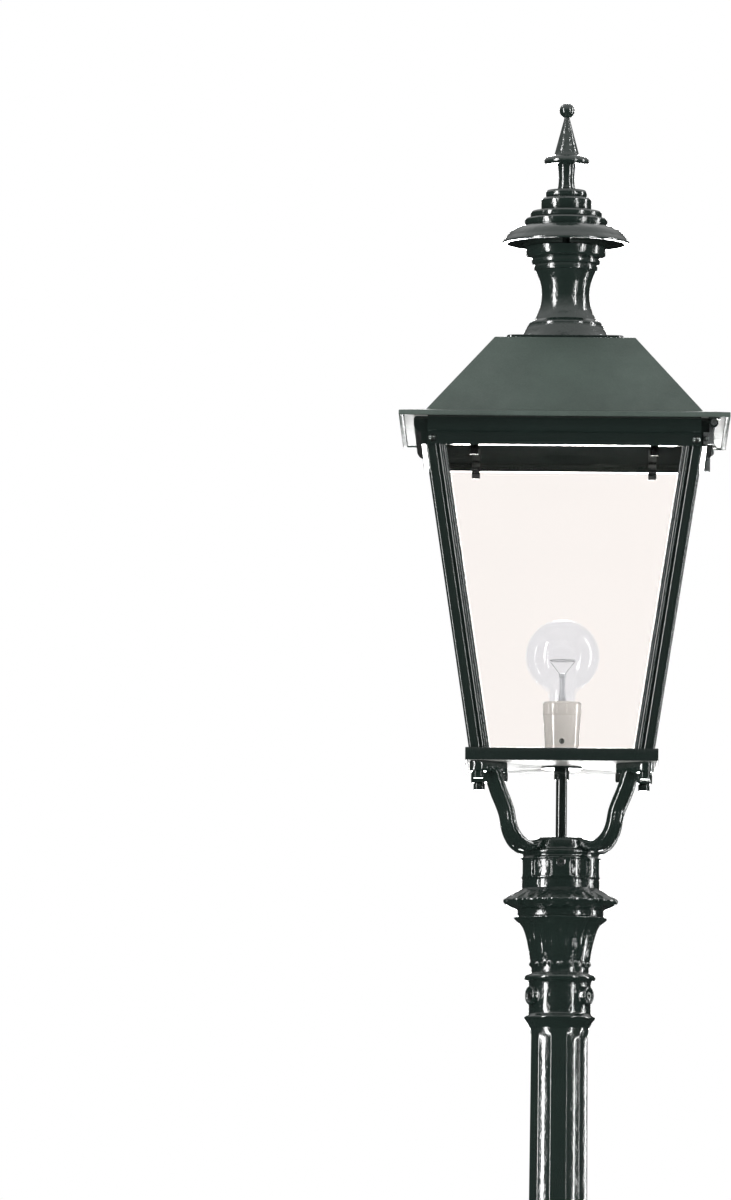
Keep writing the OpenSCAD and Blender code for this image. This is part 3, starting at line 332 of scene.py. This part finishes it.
LOOKS = [
    (CAST, ["base_pedestal", "baluster", "capital", "cradle", "cradle_bolts"]),
    (SHAFT, ["shaft"]),
    (LANTERN, [*POSTS, "bottom_frame", "top_frame", "conduit_rod", "rod_nuts", "rod_washer",
               "cap_rod", "cap_nuts", "hinge_roof_leaves"]),
    (ROOF, ["roof"]),
    (COWL, ["chimney", "chimney_cap", "finial"]),
    (PLATE, ["bottom_plate", "ceiling_plate"]),
    (PANE, PANES),
    (GLOBE, ["bulb_glass"]),
    (STEM, ["bulb_stem"]),
    (CHINA, ["lampholder_body", "lampholder_ring"]),
    (BRASS, ["bulb_cap"]),
    (STEEL, ["capital_screws", "cradle_screws", "corner_screws", "clip_screws", "lampholder_screw",
             "ceiling_screws", "hinge_screws"]),
    (SPRING, ["pane_clips"]),
    (ZINC, ["chimney_screws", "hinge_frame_leaves", "hinge_pins"]),
    (WIRE, ["bulb_filament"]),
]

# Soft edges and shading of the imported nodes

SMOOTH_BELOW = 32
BEVEL_ABOVE = 28
BEVEL_SEGMENTS = 2
FLAT_WITHIN = 0.4
WELD_DISTANCE = 0.00001

EDGE_WIDTHS = {
    "base_pedestal": 1.0,
    "bottom_frame": 0.8,
    "bottom_plate": 0.3,
    "roof": 0.8,
    "ceiling_plate": 0.2,
    "hinge_frame_leaves": 0.3,
    "hinge_roof_leaves": 0.3,
    "cradle_bolts": 0.7,
    "rod_nuts": 0.4,
    "rod_washer": 0.4,
    "cap_nuts": 0.3,
}


def shade_group(degrees):
    """Node group that shades smooth below an edge angle and leaves the rest sharp"""
    group = bpy.data.node_groups.new(f"smooth_{degrees}", "GeometryNodeTree")
    group.interface.new_socket("Geometry", in_out="INPUT", socket_type="NodeSocketGeometry")
    group.interface.new_socket("Geometry", in_out="OUTPUT", socket_type="NodeSocketGeometry")
    start = group.nodes.new("NodeGroupInput")
    end = group.nodes.new("NodeGroupOutput")
    faces = add(group, "GeometryNodeSetShadeSmooth", domain="FACE")
    edges = add(group, "GeometryNodeSetShadeSmooth", domain="EDGE")
    angle = group.nodes.new("GeometryNodeInputMeshEdgeAngle")
    below = add(group, "FunctionNodeCompare", data_type="FLOAT", operation="LESS_THAN")
    below.inputs[1].default_value = math.radians(degrees)
    link = group.links.new
    link(start.outputs[0], faces.inputs["Geometry"])
    link(faces.outputs[0], edges.inputs["Geometry"])
    link(angle.outputs["Unsigned Angle"], below.inputs[0])
    link(below.outputs[0], edges.inputs["Shade Smooth"])
    link(edges.outputs[0], end.inputs[0])
    return group


def soften(obj, width, shading):
    """Joined corners, a small rounding of the edges and smooth shading, as modifiers"""
    weld = obj.modifiers.new("weld", "WELD")
    weld.merge_threshold = WELD_DISTANCE
    if width:
        flat = obj.modifiers.new("flat", "DECIMATE")
        flat.decimate_type = "DISSOLVE"
        flat.angle_limit = math.radians(FLAT_WITHIN)
        bevel = obj.modifiers.new("edges", "BEVEL")
        bevel.width = width * MM
        bevel.segments = BEVEL_SEGMENTS
        bevel.limit_method = "ANGLE"
        bevel.angle_limit = math.radians(BEVEL_ABOVE)
        bevel.use_clamp_overlap = False
    shade = obj.modifiers.new("shade", "NODES")
    shade.node_group = shading


shading = shade_group(SMOOTH_BELOW)
for look, names in LOOKS:
    for name in names:
        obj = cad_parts[name]
        obj.data.materials.clear()
        obj.data.materials.append(look)
        soften(obj, EDGE_WIDTHS.get(name, 0), shading)

for name in [*PANES, "bulb_glass", "bulb_stem"]:
    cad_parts[name].visible_shadow = False

# Making a piece


def piece(name, shape, look, replaced, sharp, body="post"):
    """A shape in millimetres as a named piece on a body, sharp where faces meet above an angle"""
    verts, faces = shape
    mesh = bpy.data.meshes.new(name)
    mesh.from_pydata([tuple(v) for v in np.asarray(verts) * MM], [], faces)
    mesh.validate()
    mesh.update()
    mesh.polygons.foreach_set("use_smooth", [True] * len(mesh.polygons))
    mesh.set_sharp_from_angle(angle=math.radians(sharp))
    mesh.materials.append(look)
    obj = bpy.data.objects.new(name, mesh)
    link_object(obj)
    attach(obj, body)
    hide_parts(*replaced)


def circle(radius, columns):
    """Points of a circle round the post"""
    turns = [2 * math.pi * j / columns for j in range(columns)]
    return [(radius * math.cos(a), radius * math.sin(a)) for a in turns]


def grid_faces(rows, columns):
    """Quads of a tube of rows and columns, counted row by row"""
    i, j = np.meshgrid(np.arange(rows - 1), np.arange(columns), indexing="ij")
    a = i * columns + j
    b = i * columns + (j + 1) % columns
    return np.stack([a, b, b + columns, a + columns], -1).reshape(-1, 4).tolist()


def capped(rows, columns):
    """Faces of a tube with a flat cap on its first and last row"""
    last = (rows - 1) * columns
    caps = [list(range(columns))[::-1], [last + j for j in range(columns)]]
    return grid_faces(rows, columns) + caps


def closed(rows, columns):
    """Faces of a tube whose last row meets its first one again"""
    last = (rows - 1) * columns
    seam = [[last + j, last + (j + 1) % columns, (j + 1) % columns, j] for j in range(columns)]
    return grid_faces(rows, columns) + seam


def tube(outline, bore, columns, relief=None, level=0.0):
    """A closed turned tube whose outside takes a relief of height and angle"""
    outline = np.array(outline, float)
    angle = np.arange(columns) * 360.0 / columns
    height, turn = np.meshgrid(outline[:, 1], angle, indexing="ij")
    radius = outline[:, :1] + (relief(height, turn) if relief else 0.0)
    x, y = radius * np.cos(np.radians(turn)), radius * np.sin(np.radians(turn))
    rows = [np.stack([x, y, height + level], -1)]
    x, y = bore * np.cos(np.radians(angle)), bore * np.sin(np.radians(angle))
    for z in (outline[-1, 1], outline[0, 1]):
        rows.append(np.stack([x, y, np.full(columns, z + level)], -1)[None])
    verts = np.concatenate(rows)
    return verts.reshape(-1, 3), closed(len(verts), columns)


def revolved(loop, columns, level):
    """A closed ring turned from a loop of radius and height"""
    verts = [(x, y, z + level) for r, z in loop for x, y in circle(r, columns)]
    return verts, closed(len(loop), columns)


def turned_at(place, profile, columns):
    """A closed turning from its foot to its tip along a placed axis"""
    verts = [tuple(place @ Vector((x, y, z))) for r, z in profile for x, y in circle(r, columns)]
    return verts, capped(len(profile), columns)


def swept(sections):
    """A closed solid through sections of equal length"""
    verts = [point for section in sections for point in section]
    return verts, capped(len(sections), len(sections[0]))


# Baluster: slab, leaf bell and rope below, leafed vase and tulip above

BALUSTER_BORE = 31.6
ROPE_Z = 122
LOBE_PITCH = 27


def foot_relief(h, a):
    """Leaf tips with curled edges, a raised vein and folds beside it, and the twisted rope"""
    s = sector(a - VEIN, FOOT_LEAVES)
    skirt = hump(h - 42, 15)
    curl = hump(h - 74, 14)
    leaf = 3.6 * skirt * hump(s, 13) - 2.4 * (1 - skirt) * hump(np.abs(s) - 15, 4.5)
    leaf += 1.5 * hump(s, 2.6) * (1 - skirt) + 1.9 * curl * hump(np.abs(s) - 9.5, 4.0)
    leaf -= 1.3 * hump(np.abs(s) - 5.5, 2.6) * (1 - skirt)
    strand = 0.5 + 0.5 * np.cos(np.radians(ROPE_STRANDS * a + (h - ROPE_Z) * 22))
    rope = -2.7 * strand**1.5 * hump(h - ROPE_Z, 12)
    return leaf * band(h, 36, 40, 97, 101) + rope * band(h, 111, 114, 130, 133)


def vase_relief(h, a):
    """Long leaves with lobes that rise outward from a vein, smooth ribs between, and the tulip's petals"""
    s = sector(a - VEIN, VASE_LEAVES)
    width = 19.5 - 6.0 * ramp(h, 300, 400) + 1.8 * np.cos(2 * np.pi * (h - 1.1 * 17) / LOBE_PITCH)
    inside = ramp(-np.abs(s), -width, -width + 4.5)
    wave = 0.5 + 0.5 * np.cos(2 * np.pi * (h - 1.35 * np.abs(s)) / LOBE_PITCH)
    lobes = 0.28 + 0.72 * wave**0.8
    crown = 1 - 0.5 * (np.abs(s) / 24) ** 2
    vein = 1.3 * hump(np.abs(s) - 2.6, 1.7) - 1.6 * hump(s, 1.6)
    rib = 1.5 * hump(np.abs(s) - 30, 9)
    leaf = 4.6 * inside * lobes * crown + vein + rib
    notches = -1.6 * hump(sector(a - VEIN, VASE_FOOT_NOTCHES), 3.5) * hump(h - 202, 14)
    p = sector(a - 51, TULIP_PETALS)
    tulip = -4.5 * hump(h - 463, 40) * hump(np.abs(p) - 30, 14) + 1.4 * hump(p, 7) * hump(h - 445, 36)
    tulip += -0.8 * hump(np.abs(p) - 12, 4) * hump(h - 440, 28)
    return leaf * band(h, 208, 232, 366, 404) + notches + tulip * band(h, 409, 414, 468, 470)


foot_outline = (
    [(66, 0), (66, 2), (73, 2.6), (74.5, 3.2)]
    + smooth([(76, 4), (77.5, 10), (76, 16.5)], 5)
    + [(72.5, 17.6), (71.6, 18.6), (70, 25), (69, 28.4), (67.8, 29.6), (62.6, 30), (62, 30.8), (62, 37.6)]
    + smooth([(62.5, 38), (61, 41), (56, 50), (54, 57), (54, 73), (52.5, 84), (50, 93), (47.5, 100)], 7)
    + [(46, 100.3), (46, 109.5), (44.5, 111.5)]
    + smooth([(50, 112), (55, 116), (56.5, 122), (55, 128), (50, 132)], 6)
    + [(44.5, 132.4), (46.2, 133.6), (46.6, 135), (46.6, 141), (45.8, 142.6), (41.6, 143.4)]
    + smooth([(41, 143.5), (38, 150), (38, 160), (41, 171)], 6)[1:]
    + smooth([(43, 172), (46, 176), (46, 181), (42, 185)], 5)
)
foot = tube(foot_outline, BALUSTER_BORE, CARVED_COLUMNS, foot_relief, BALUSTER_Z)
piece("baluster_foot", foot, CAST, ["baluster"], sharp=50)

vase_curve = [
    (42, 185.4), (51, 196), (58, 206), (61, 217), (61.5, 232), (60.5, 260), (58, 292), (54, 334),
    (47, 355), (45.5, 376), (42, 397), (40.5, 409),
]
tulip_curve = [
    (40.5, 409), (42, 418), (43.5, 428), (46, 439), (50, 452), (56.5, 463), (54, 467), (48, 469),
]
vase_outline = (
    smooth(vase_curve, 12)
    + smooth(tulip_curve, 6)[1:]
    + [(38, 469.4), (36.4, 471), (35.6, 475)]
    + smooth([(36, 476), (38, 479.5), (38, 485), (36, 489)], 5)
)
vase = tube(vase_outline, BALUSTER_BORE, VASE_COLUMNS, vase_relief, BALUSTER_Z)
piece("baluster_vase", vase, CAST, ["baluster"], sharp=55)

# Shaft: a fluted tube that narrows upward

SHAFT_H = 787
SHAFT_FOOT_R = 35.5
SHAFT_TAPER = 4
SHAFT_BORE = 22
FLUTE_DEPTH = 1.9
FILLET_SHARE = 0.1


def flutes(h, a):
    """Hollow flutes between narrow fillets, fading out just before both ends"""
    wave = np.abs(np.sin(np.radians(FLUTES / 2 * (a - FRONT - 14))))
    depth = FLUTE_DEPTH * np.clip((wave - FILLET_SHARE) / (1 - FILLET_SHARE), 0, 1) ** 0.8
    return -depth * band(h, 2, 14, SHAFT_H - 14, SHAFT_H - 2)


shaft_outline = (
    [(SHAFT_FOOT_R, 0), (35.4, 2), (35.4, 5), (35.4, 8), (35.4, 11), (35.3, 14)]
    + [(SHAFT_FOOT_R - SHAFT_TAPER * z / SHAFT_H, z) for z in np.linspace(20, SHAFT_H - 20, 50)]
    + [(31.6, 773), (31.5, 776), (31.5, 779), (31.5, 782), (31.5, 785), (31.5, SHAFT_H)]
)
fluted = tube(shaft_outline, SHAFT_BORE, CARVED_COLUMNS, flutes, SHAFT_Z)
piece("shaft_fluted", fluted, SHAFT, ["shaft"], sharp=60)

# Capital: boss band, leafed bell and petal disc

CAPITAL_BORE = 27.2
BOSS_Z = 35
BOSS_TURNS = (58, -62, 178)


def capital_relief(h, a):
    """Leaf tips round the lip of the bell, beads at its foot and curled petals on the disc"""
    s = sector(a - VEIN, CAPITAL_LEAVES)
    leaf = 1.9 * hump(s, 14) * hump(h - 104, 32) - 1.7 * hump(np.abs(s) - 22.5, 6) * hump(h - 111, 27)
    leaf += 0.9 * hump(s, 3) * hump(h - 92, 26) - 0.8 * hump(np.abs(s) - 8, 3) * hump(h - 98, 22)
    leaf += 1.3 * hump(np.abs(s) - 10, 5) * hump(h - 117, 6)
    beads = 2.3 * hump(sector(a - FRONT, CAPITAL_BEADS), 7.5) * hump(h - 69, 3.8)
    p = sector(a - FRONT, DISC_PETALS)
    petal = -4.6 * hump(np.abs(p) - 15, 5.5) * hump(h - 137, 11) - 1.6 * hump(p, 4.5) * hump(h - 142, 7)
    petal += 1.0 * hump(np.abs(p) - 6.5, 4) * hump(h - 139, 8)
    return (leaf + beads) * band(h, 60, 63, 119, 121.5) + petal * band(h, 127, 130, 147, 150)


bell_curve = [
    (31.5, 60.4), (31, 66), (32.5, 74), (34.5, 86), (37, 98), (41, 109), (46, 115), (50, 119), (48, 121),
]
capital_outline = (
    [(31.9, 0)]
    + smooth([(31.9, 0.4), (34, 4), (36.5, 8), (38.5, 10.5), (38, 12.5), (34, 15.2)], 4)
    + [(33.6, 16.4), (33.5, 20), (33.5, 45), (33.6, 49), (34.2, 50.4)]
    + smooth([(35, 51), (37.4, 52.2), (38.5, 54.5), (37, 57.3), (32.6, 59.8)], 4)
    + smooth(bell_curve, 8)
    + [(46.6, 121.5), (46.5, 123), (46.5, 127)]
    + smooth([(47, 128), (56, 132), (61.5, 137), (59, 141), (51, 146), (43, 151)], 7)
    + [(42, 151.6), (42, 160)]
)
capital = tube(capital_outline, CAPITAL_BORE, CARVED_COLUMNS, capital_relief, CAPITAL_Z)
piece("capital_leafed", capital, CAST, ["capital"], sharp=50)

boss_profile = [
    (10.5, 29), (10.5, 35.6), (10.1, 36.9), (9.2, 37.8), (8.2, 38), (7.4, 37.6), (6.9, 36.8),
    (6.4, 36.4), (4.6, 36.3), (4.2, 36.0), (4.05, 35.4), (4.05, 31),
]
for k, turn in enumerate(BOSS_TURNS):
    place = Matrix.Rotation(math.radians(FRONT + turn), 4, "Z")
    place = place @ Matrix.Translation((0, 0, CAPITAL_Z + BOSS_Z))
    place = place @ Matrix.Rotation(math.radians(90), 4, "Y")
    boss = turned_at(place, boss_profile, BOSS_COLUMNS)
    piece(f"capital_boss_{k + 1}", boss, CAST, ["capital"], sharp=50)

# Cradle: windowed collar, and arms and lugs that carry the lantern

COLLAR_R = 43.5
COLLAR_BORE = 30.2
WINDOW_Z = 13
WINDOW_HALF_W = 12.5
WINDOW_HALF_H = 9.5
WINDOW_CORNER = 3.5
WINDOW_DEPTH = 3.2
SCREW_SEAT_Z = 19
SCREW_SEAT_DEPTH = 1.2
ARM_HALF_W = 9
ARM_DEPTH = 12
LUG_START = 92
LUG_CENTRE = 127.3
LUG_R = 9
LUG_HALF_T = 5.75


def collar_relief(h, a):
    """Round-cornered windows sunk into the collar, and screw seats on the pads between"""
    s = sector(a - FRONT - 180 / COLLAR_WINDOWS, COLLAR_WINDOWS) * math.pi / 180 * COLLAR_R
    x = np.maximum(np.abs(s) - WINDOW_HALF_W + WINDOW_CORNER, 0)
    y = np.maximum(np.abs(h - WINDOW_Z) - WINDOW_HALF_H + WINDOW_CORNER, 0)
    sunk = ramp(WINDOW_CORNER - np.hypot(x, y), -0.6, 0.7)
    t = sector(a - FRONT, COLLAR_SCREWS) * math.pi / 180 * COLLAR_R
    seat = ramp(-np.hypot(t, h - SCREW_SEAT_Z), -4.9, -4.1) * ramp(-h, -25, -24)
    return -WINDOW_DEPTH * sunk - SCREW_SEAT_DEPTH * seat


def arm_curve(depth):
    """Side view of an arm's S-curve, moved in from the outer edge by a depth"""
    return smooth([
        (36 + depth * 0.2, 33 + depth),
        (52, 30.5 + depth),
        (64 - depth * 0.25, 33.5 + depth * 0.95),
        (74 - depth * 0.6, 40 + depth * 0.75),
        (82 - depth * 0.9, 50 + depth * 0.35),
        (86.5 - depth, 60 + depth * 0.1),
        (90 - depth, 74),
        (96 - depth, 86),
        (103 - depth, 98),
        (113 - depth, 120),
    ], 8)


def cradle_arm(place):
    """An S-curved arm of round-cornered section"""
    sections = []
    for (outer_x, outer_z), (inner_x, inner_z) in zip(arm_curve(0), arm_curve(ARM_DEPTH)):
        outer = Vector((outer_x, 0, outer_z + CRADLE_Z))
        inner = Vector((inner_x, 0, inner_z + CRADLE_Z))
        across = (inner - outer) / 2
        middle = (inner + outer) / 2
        points = [middle + across * u + Vector((0, ARM_HALF_W * v, 0)) for u, v in oval(28, 3.4)]
        sections.append([tuple(place @ point) for point in points])
    verts, faces = swept(sections)
    return verts, [face[::-1] for face in faces]


def cradle_lug(place):
    """A flat lug with a round end, under the lantern's corner"""
    shank = list(np.linspace(LUG_START, LUG_CENTRE, 8))
    tip = [LUG_CENTRE + LUG_R * math.sin(t) for t in np.linspace(0.12, 1.45, 10)]
    sections = []
    for x in shank + tip:
        half = LUG_R if x <= LUG_CENTRE else math.sqrt(max(0.4, LUG_R**2 - (x - LUG_CENTRE) ** 2))
        section = [(x, half * u, LANTERN_Z - LUG_HALF_T + LUG_HALF_T * v) for u, v in oval(28, 6)]
        sections.append([tuple(place @ Vector(point)) for point in section])
    return swept(sections)


collar_outline = (
    [(41.5, 0), (41.6, 0.9), (42.2, 1.7), (43.1, 2.4)]
    + straight([(COLLAR_R, 3.2), (COLLAR_R, 23.4)], 40)
    + [(43.1, 24.4), (41.6, 25.3), (41, 26.2), (41, 27.4), (41.6, 28.4), (42.6, 29), (43, 29.8),
       (43, 31.4), (42.4, 32.4), (39.4, 33), (38.6, 34), (38.5, 36), (38.5, 42.6), (38, 44),
       (36.9, 45.4), (35.5, 46)]
)
collar = tube(collar_outline, COLLAR_BORE, COLLAR_COLUMNS, collar_relief, CRADLE_Z)
piece("cradle_collar", collar, CAST, ["cradle"], sharp=50)

for k in range(CRADLE_ARMS):
    place = Matrix.Rotation(math.radians(45 + 360 / CRADLE_ARMS * k), 4, "Z")
    piece(f"cradle_arm_{k + 1}", cradle_arm(place), CAST, ["cradle"], sharp=60)
    piece(f"cradle_lug_{k + 1}", cradle_lug(place), CAST, ["cradle"], sharp=60)

# Chimney on the roof: turned neck, square foot and the bridge inside that holds the cap's rod

CHIMNEY_BORE = 20.0
CHIMNEY_STRETCH = 105 / 103
FOOT_HALF = 63.5
BRIDGE_Z = 69.5
BRIDGE_HALF_L = 21
BRIDGE_HALF_W = 6
BRIDGE_HALF_H = 4.5

neck_curve = [
    (33.8, 26), (32.6, 28.5), (29.5, 35), (27.2, 42), (26, 50), (26, 57), (27.4, 66), (30, 73), (32.6, 79),
]
chimney_outline = (
    smooth([(50, 4), (47.6, 7.5), (45.4, 11), (43.4, 15), (42, 17.5)], 4)
    + [(41.4, 19.6)]
    + smooth([(40, 20), (39.6, 22), (38.2, 23.8), (35.4, 24.8)], 4)
    + smooth(neck_curve, 5)
    + [(34, 79.6), (34.4, 81), (34.4, 84), (33.8, 85.4), (36, 86), (37, 87.4), (37, 90.6), (36.2, 92.4),
       (38.6, 93), (42, 94.4), (43, 96), (43, 104.5), (41.5, 105.5)]
)
neck = tube(stretched(chimney_outline, CHIMNEY_STRETCH), CHIMNEY_BORE, TURNED_COLUMNS, level=CROWN_Z)
piece("chimney_neck", neck, COWL, ["chimney"], sharp=40, body="roof")

foot_rows = ((0.992, 0.0), (1.0, 0.5), (1.0, 3.5), (0.992, 4.1))
sections = [[(FOOT_HALF * k * u, FOOT_HALF * k * v, CROWN_Z + z) for u, v in oval(64, 16)]
            for k, z in foot_rows]
piece("chimney_foot", swept(sections), COWL, ["chimney"], sharp=40, body="roof")

bridge_section = [(BRIDGE_HALF_W * u, CROWN_Z + BRIDGE_Z + BRIDGE_HALF_H * v) for u, v in oval(24, 8)]
sections = [[(x, y, z) for y, z in bridge_section]
            for x in np.linspace(-BRIDGE_HALF_L, BRIDGE_HALF_L, 9)]
piece("chimney_bridge", swept(sections), COWL, ["chimney"], sharp=40, body="roof")

# Rain cap and finial

CAP_STRETCH = 60.6 / 58.3
BALL_R = 8.2
BALL_FOOT_Z = 78

rim_curve = [(69, 2), (67.6, 4), (65.4, 6.5), (63.2, 9.6), (59.8, 13), (54.2, 16.3), (48, 18.6)]
cap_outline = (
    [(69, 0)]
    + smooth(rim_curve, 6)
    + [(44.4, 19.4), (45, 20.8), (45, 25), (43.6, 26.6), (37.8, 27.2), (38.8, 28.6), (38.8, 32.6),
       (37.2, 34.4), (26.2, 35.2), (27.2, 36.8), (27.2, 46.2), (25.2, 48.4), (21, 49.2), (22.3, 51),
       (22.3, 54.4), (20.6, 56.8), (9.5, 58.3), (4.15, 58.3), (4.15, 30), (20, 30), (33, 23), (41, 15),
       (53, 11), (61.5, 5), (64.5, 0)]
)
bell = revolved(stretched(cap_outline, CAP_STRETCH), TURNED_COLUMNS, CAP_Z)
piece("cap_bell", bell, COWL, ["chimney_cap"], sharp=34, body="roof")

ball_turns = np.linspace(0.36, math.pi - 0.03, 26)
finial_outline = (
    [(9.5, 0)]
    + smooth([(9.5, 1), (8.8, 5), (8.4, 14), (9.2, 24)], 5)
    + [(10.5, 27.2), (22.5, 27.6), (24.5, 29)]
    + smooth([(24.5, 31), (22.5, 34), (18, 36), (14, 37)], 5)
    + straight([(13.4, 38), (2.5, 79.4)], 12)
    + [(BALL_R * math.sin(t), BALL_FOOT_Z + BALL_R - BALL_R * math.cos(t)) for t in ball_turns]
)
finial = turned_at(Matrix.Translation((0, 0, FINIAL_Z)), finial_outline, FINIAL_COLUMNS)
piece("finial_turned", finial, COWL, ["finial"], sharp=40, body="roof")

# Floor, in metres: pale near the post, and plain white for the camera further out

STAGE_COLUMNS = 96
FLOOR_RADIUS = 90.0
FLOOR_Z = -0.0005
FLOOR_GREY = 0.88
FADE_START = 0.8
FADE_END = 6.0
WHITE = (1.0, 1.0, 1.0, 1.0)


def stage_object(name, verts, faces, look):
    """A mesh in metres that belongs to the set and not to the lantern"""
    mesh = bpy.data.meshes.new(name)
    mesh.from_pydata(verts, [], faces)
    mesh.materials.append(look)
    obj = bpy.data.objects.new(name, mesh)
    link_object(obj)
    return obj


def floor_look():
    m = node_material("floor_pale")
    tree = m.node_tree
    place = add(tree, "ShaderNodeTexCoord").outputs["Object"]
    reach = add(tree, "ShaderNodeVectorMath", {0: place}, operation="LENGTH").outputs["Value"]
    fading = {"Value": reach, "From Min": FADE_START, "From Max": FADE_END}
    fade = add(tree, "ShaderNodeMapRange", fading, interpolation_type="SMOOTHSTEP").outputs[0]
    seen = add(tree, "ShaderNodeLightPath").outputs["Is Camera Ray"]
    share = add(tree, "ShaderNodeMath", {0: fade, 1: seen}, operation="MULTIPLY").outputs[0]
    matt = add(tree, "ShaderNodeBsdfDiffuse", {"Color": (FLOOR_GREY, FLOOR_GREY, FLOOR_GREY, 1.0)})
    white = add(tree, "ShaderNodeEmission", {"Color": WHITE, "Strength": 1.0})
    blend = add(tree, "ShaderNodeMixShader", {0: share, 1: matt.outputs[0], 2: white.outputs[0]})
    add(tree, "ShaderNodeOutputMaterial", {"Surface": blend.outputs[0]})
    return m


floor_ring = [(x, y, 0.0) for x, y in circle(FLOOR_RADIUS, STAGE_COLUMNS)]
floor = stage_object("floor", floor_ring, [list(range(STAGE_COLUMNS))], floor_look())
floor.location.z = FLOOR_Z

# World: white where it is seen, mirrored or seen through glass, and softer as light

SOFT_LEVEL = 0.7

world = bpy.data.worlds.new("studio")
bpy.context.scene.world = world
world.use_nodes = True
tree = world.node_tree
tree.nodes.clear()
path = add(tree, "ShaderNodeLightPath").outputs
soft = add(tree, "ShaderNodeBackground", {"Color": WHITE, "Strength": SOFT_LEVEL})
white = add(tree, "ShaderNodeBackground", {"Color": WHITE, "Strength": 1.0})
rays = {0: path["Is Camera Ray"], 1: path["Is Transmission Ray"]}
clear = add(tree, "ShaderNodeMath", rays, operation="MAXIMUM").outputs[0]
rays = {0: path["Is Glossy Ray"], 1: clear}
share = add(tree, "ShaderNodeMath", rays, operation="MAXIMUM").outputs[0]
blend = add(tree, "ShaderNodeMixShader", {0: share, 1: soft.outputs[0], 2: white.outputs[0]})
add(tree, "ShaderNodeOutputWorld", {"Surface": blend.outputs[0]})

# Painted reflection: an emitting sheet hung round the set, which only reflections see. It is dark below,
# so that the gloss stays deep between the lamps, and glows paler towards the top. It is in metres

SHEET_RADIUS = 7.0
SHEET_FOOT = 0.001
SHEET_TOP = 9.0
SHEET_DARK_BELOW = 3.5
SHEET_DARK = 0.03
SHEET_GLOW_TOP = 0.8


def reflection_sheet_look():
    # Painted reflection: emission seen only in reflections, dark below and glowing paler towards the top
    m = node_material("painted_reflection_sheet")
    tree = m.node_tree
    place = add(tree, "ShaderNodeTexCoord").outputs["Object"]
    height = add(tree, "ShaderNodeSeparateXYZ", {0: place}).outputs["Z"]
    rise = {"Value": height, "From Min": SHEET_DARK_BELOW, "From Max": SHEET_TOP,
            "To Min": SHEET_DARK, "To Max": SHEET_GLOW_TOP}
    tone = add(tree, "ShaderNodeMapRange", rise, interpolation_type="SMOOTHSTEP").outputs[0]
    grey = add(tree, "ShaderNodeEmission", {"Color": WHITE, "Strength": tone})
    add(tree, "ShaderNodeOutputMaterial", {"Surface": grey.outputs[0]})
    return m


ring = circle(SHEET_RADIUS, STAGE_COLUMNS)
sheet_verts = [(x, y, z) for z in (SHEET_FOOT, SHEET_TOP) for x, y in ring]
sheet_faces = grid_faces(2, STAGE_COLUMNS) + [list(range(STAGE_COLUMNS))]
reflection_sheet = stage_object("reflection_sheet", sheet_verts, sheet_faces, reflection_sheet_look())
for ray in ("camera", "diffuse", "transmission", "shadow", "volume_scatter"):
    setattr(reflection_sheet, f"visible_{ray}", False)

# Lamps, in metres: wide fills for matt light, and narrow strips for reflections alone

LAMP_TARGET_Z = 1.9
FILL_WIDTH = 1.4
STRIP_Z = 3.0
STRIP_TALL = 4.6


def softbox(name, azimuth, distance, height, width, tall, radiance, diffuse=True, glossy=True):
    """A tall area lamp at an angle from the front, positive to the right, aimed at the post"""
    light = bpy.data.lights.new(name, "AREA")
    light.shape = "RECTANGLE"
    light.size = width
    light.size_y = tall
    light.energy = radiance * math.pi * width * tall
    obj = bpy.data.objects.new(name, light)
    a = math.radians(azimuth)
    obj.location = (distance * math.sin(a), -distance * math.cos(a), height)
    aim = Vector((0, 0, LAMP_TARGET_Z)) - obj.location
    obj.rotation_euler = aim.to_track_quat("-Z", "Y").to_euler()
    obj.visible_camera = False
    obj.visible_transmission = False
    obj.visible_diffuse = diffuse
    obj.visible_glossy = glossy
    link_object(obj)


def fill(name, azimuth, distance, height, tall, radiance):
    """A wide lamp that reflections don't see"""
    softbox(name, azimuth, distance, height, FILL_WIDTH, tall, radiance, glossy=False)


def strip(name, azimuth, distance, width, radiance):
    """A narrow lamp that only reflections see"""
    softbox(name, azimuth, distance, STRIP_Z, width, STRIP_TALL, radiance, diffuse=False)


fill("fill_left", -50, distance=4.2, height=2.2, tall=3.2, radiance=4.4)
fill("fill_right", 60, distance=4.2, height=2.2, tall=3.2, radiance=3.2)
fill("fill_rear", 190, distance=4.6, height=2.4, tall=3.0, radiance=4.0)
strip("strip_left", -56, distance=4.2, width=0.75, radiance=30.0)
strip("strip_right", 50, distance=4.2, width=0.22, radiance=45.0)
strip("strip_side", 102, distance=4.2, width=0.25, radiance=34.0)
strip("strip_rear", 180, distance=4.6, width=0.6, radiance=20.0)

# Camera, in metres, fitted to the larger lantern of the photograph

LENS = 332.5
CAMERA_PLACE = (0.0, -12.0, 1.40)
CAMERA_AIM = (-0.2147, 0.0, 2.4533)
CAMERA_ROLL = 0.565

camera_data = bpy.data.cameras.new("camera")
camera_data.sensor_width = 36.0
camera_data.sensor_fit = "AUTO"
camera_data.lens = LENS
camera_data.clip_end = 1000.0
camera = bpy.data.objects.new("camera", camera_data)
camera.location = CAMERA_PLACE
aim = Vector(CAMERA_AIM) - camera.location
turn = aim.to_track_quat("-Z", "Y").to_matrix().to_4x4()
turn = turn @ Matrix.Rotation(math.radians(CAMERA_ROLL), 4, "Z")
camera.rotation_euler = turn.to_euler()
link_object(camera)
bpy.context.scene.camera = camera
bpy.context.scene.view_settings.view_transform = "Standard"
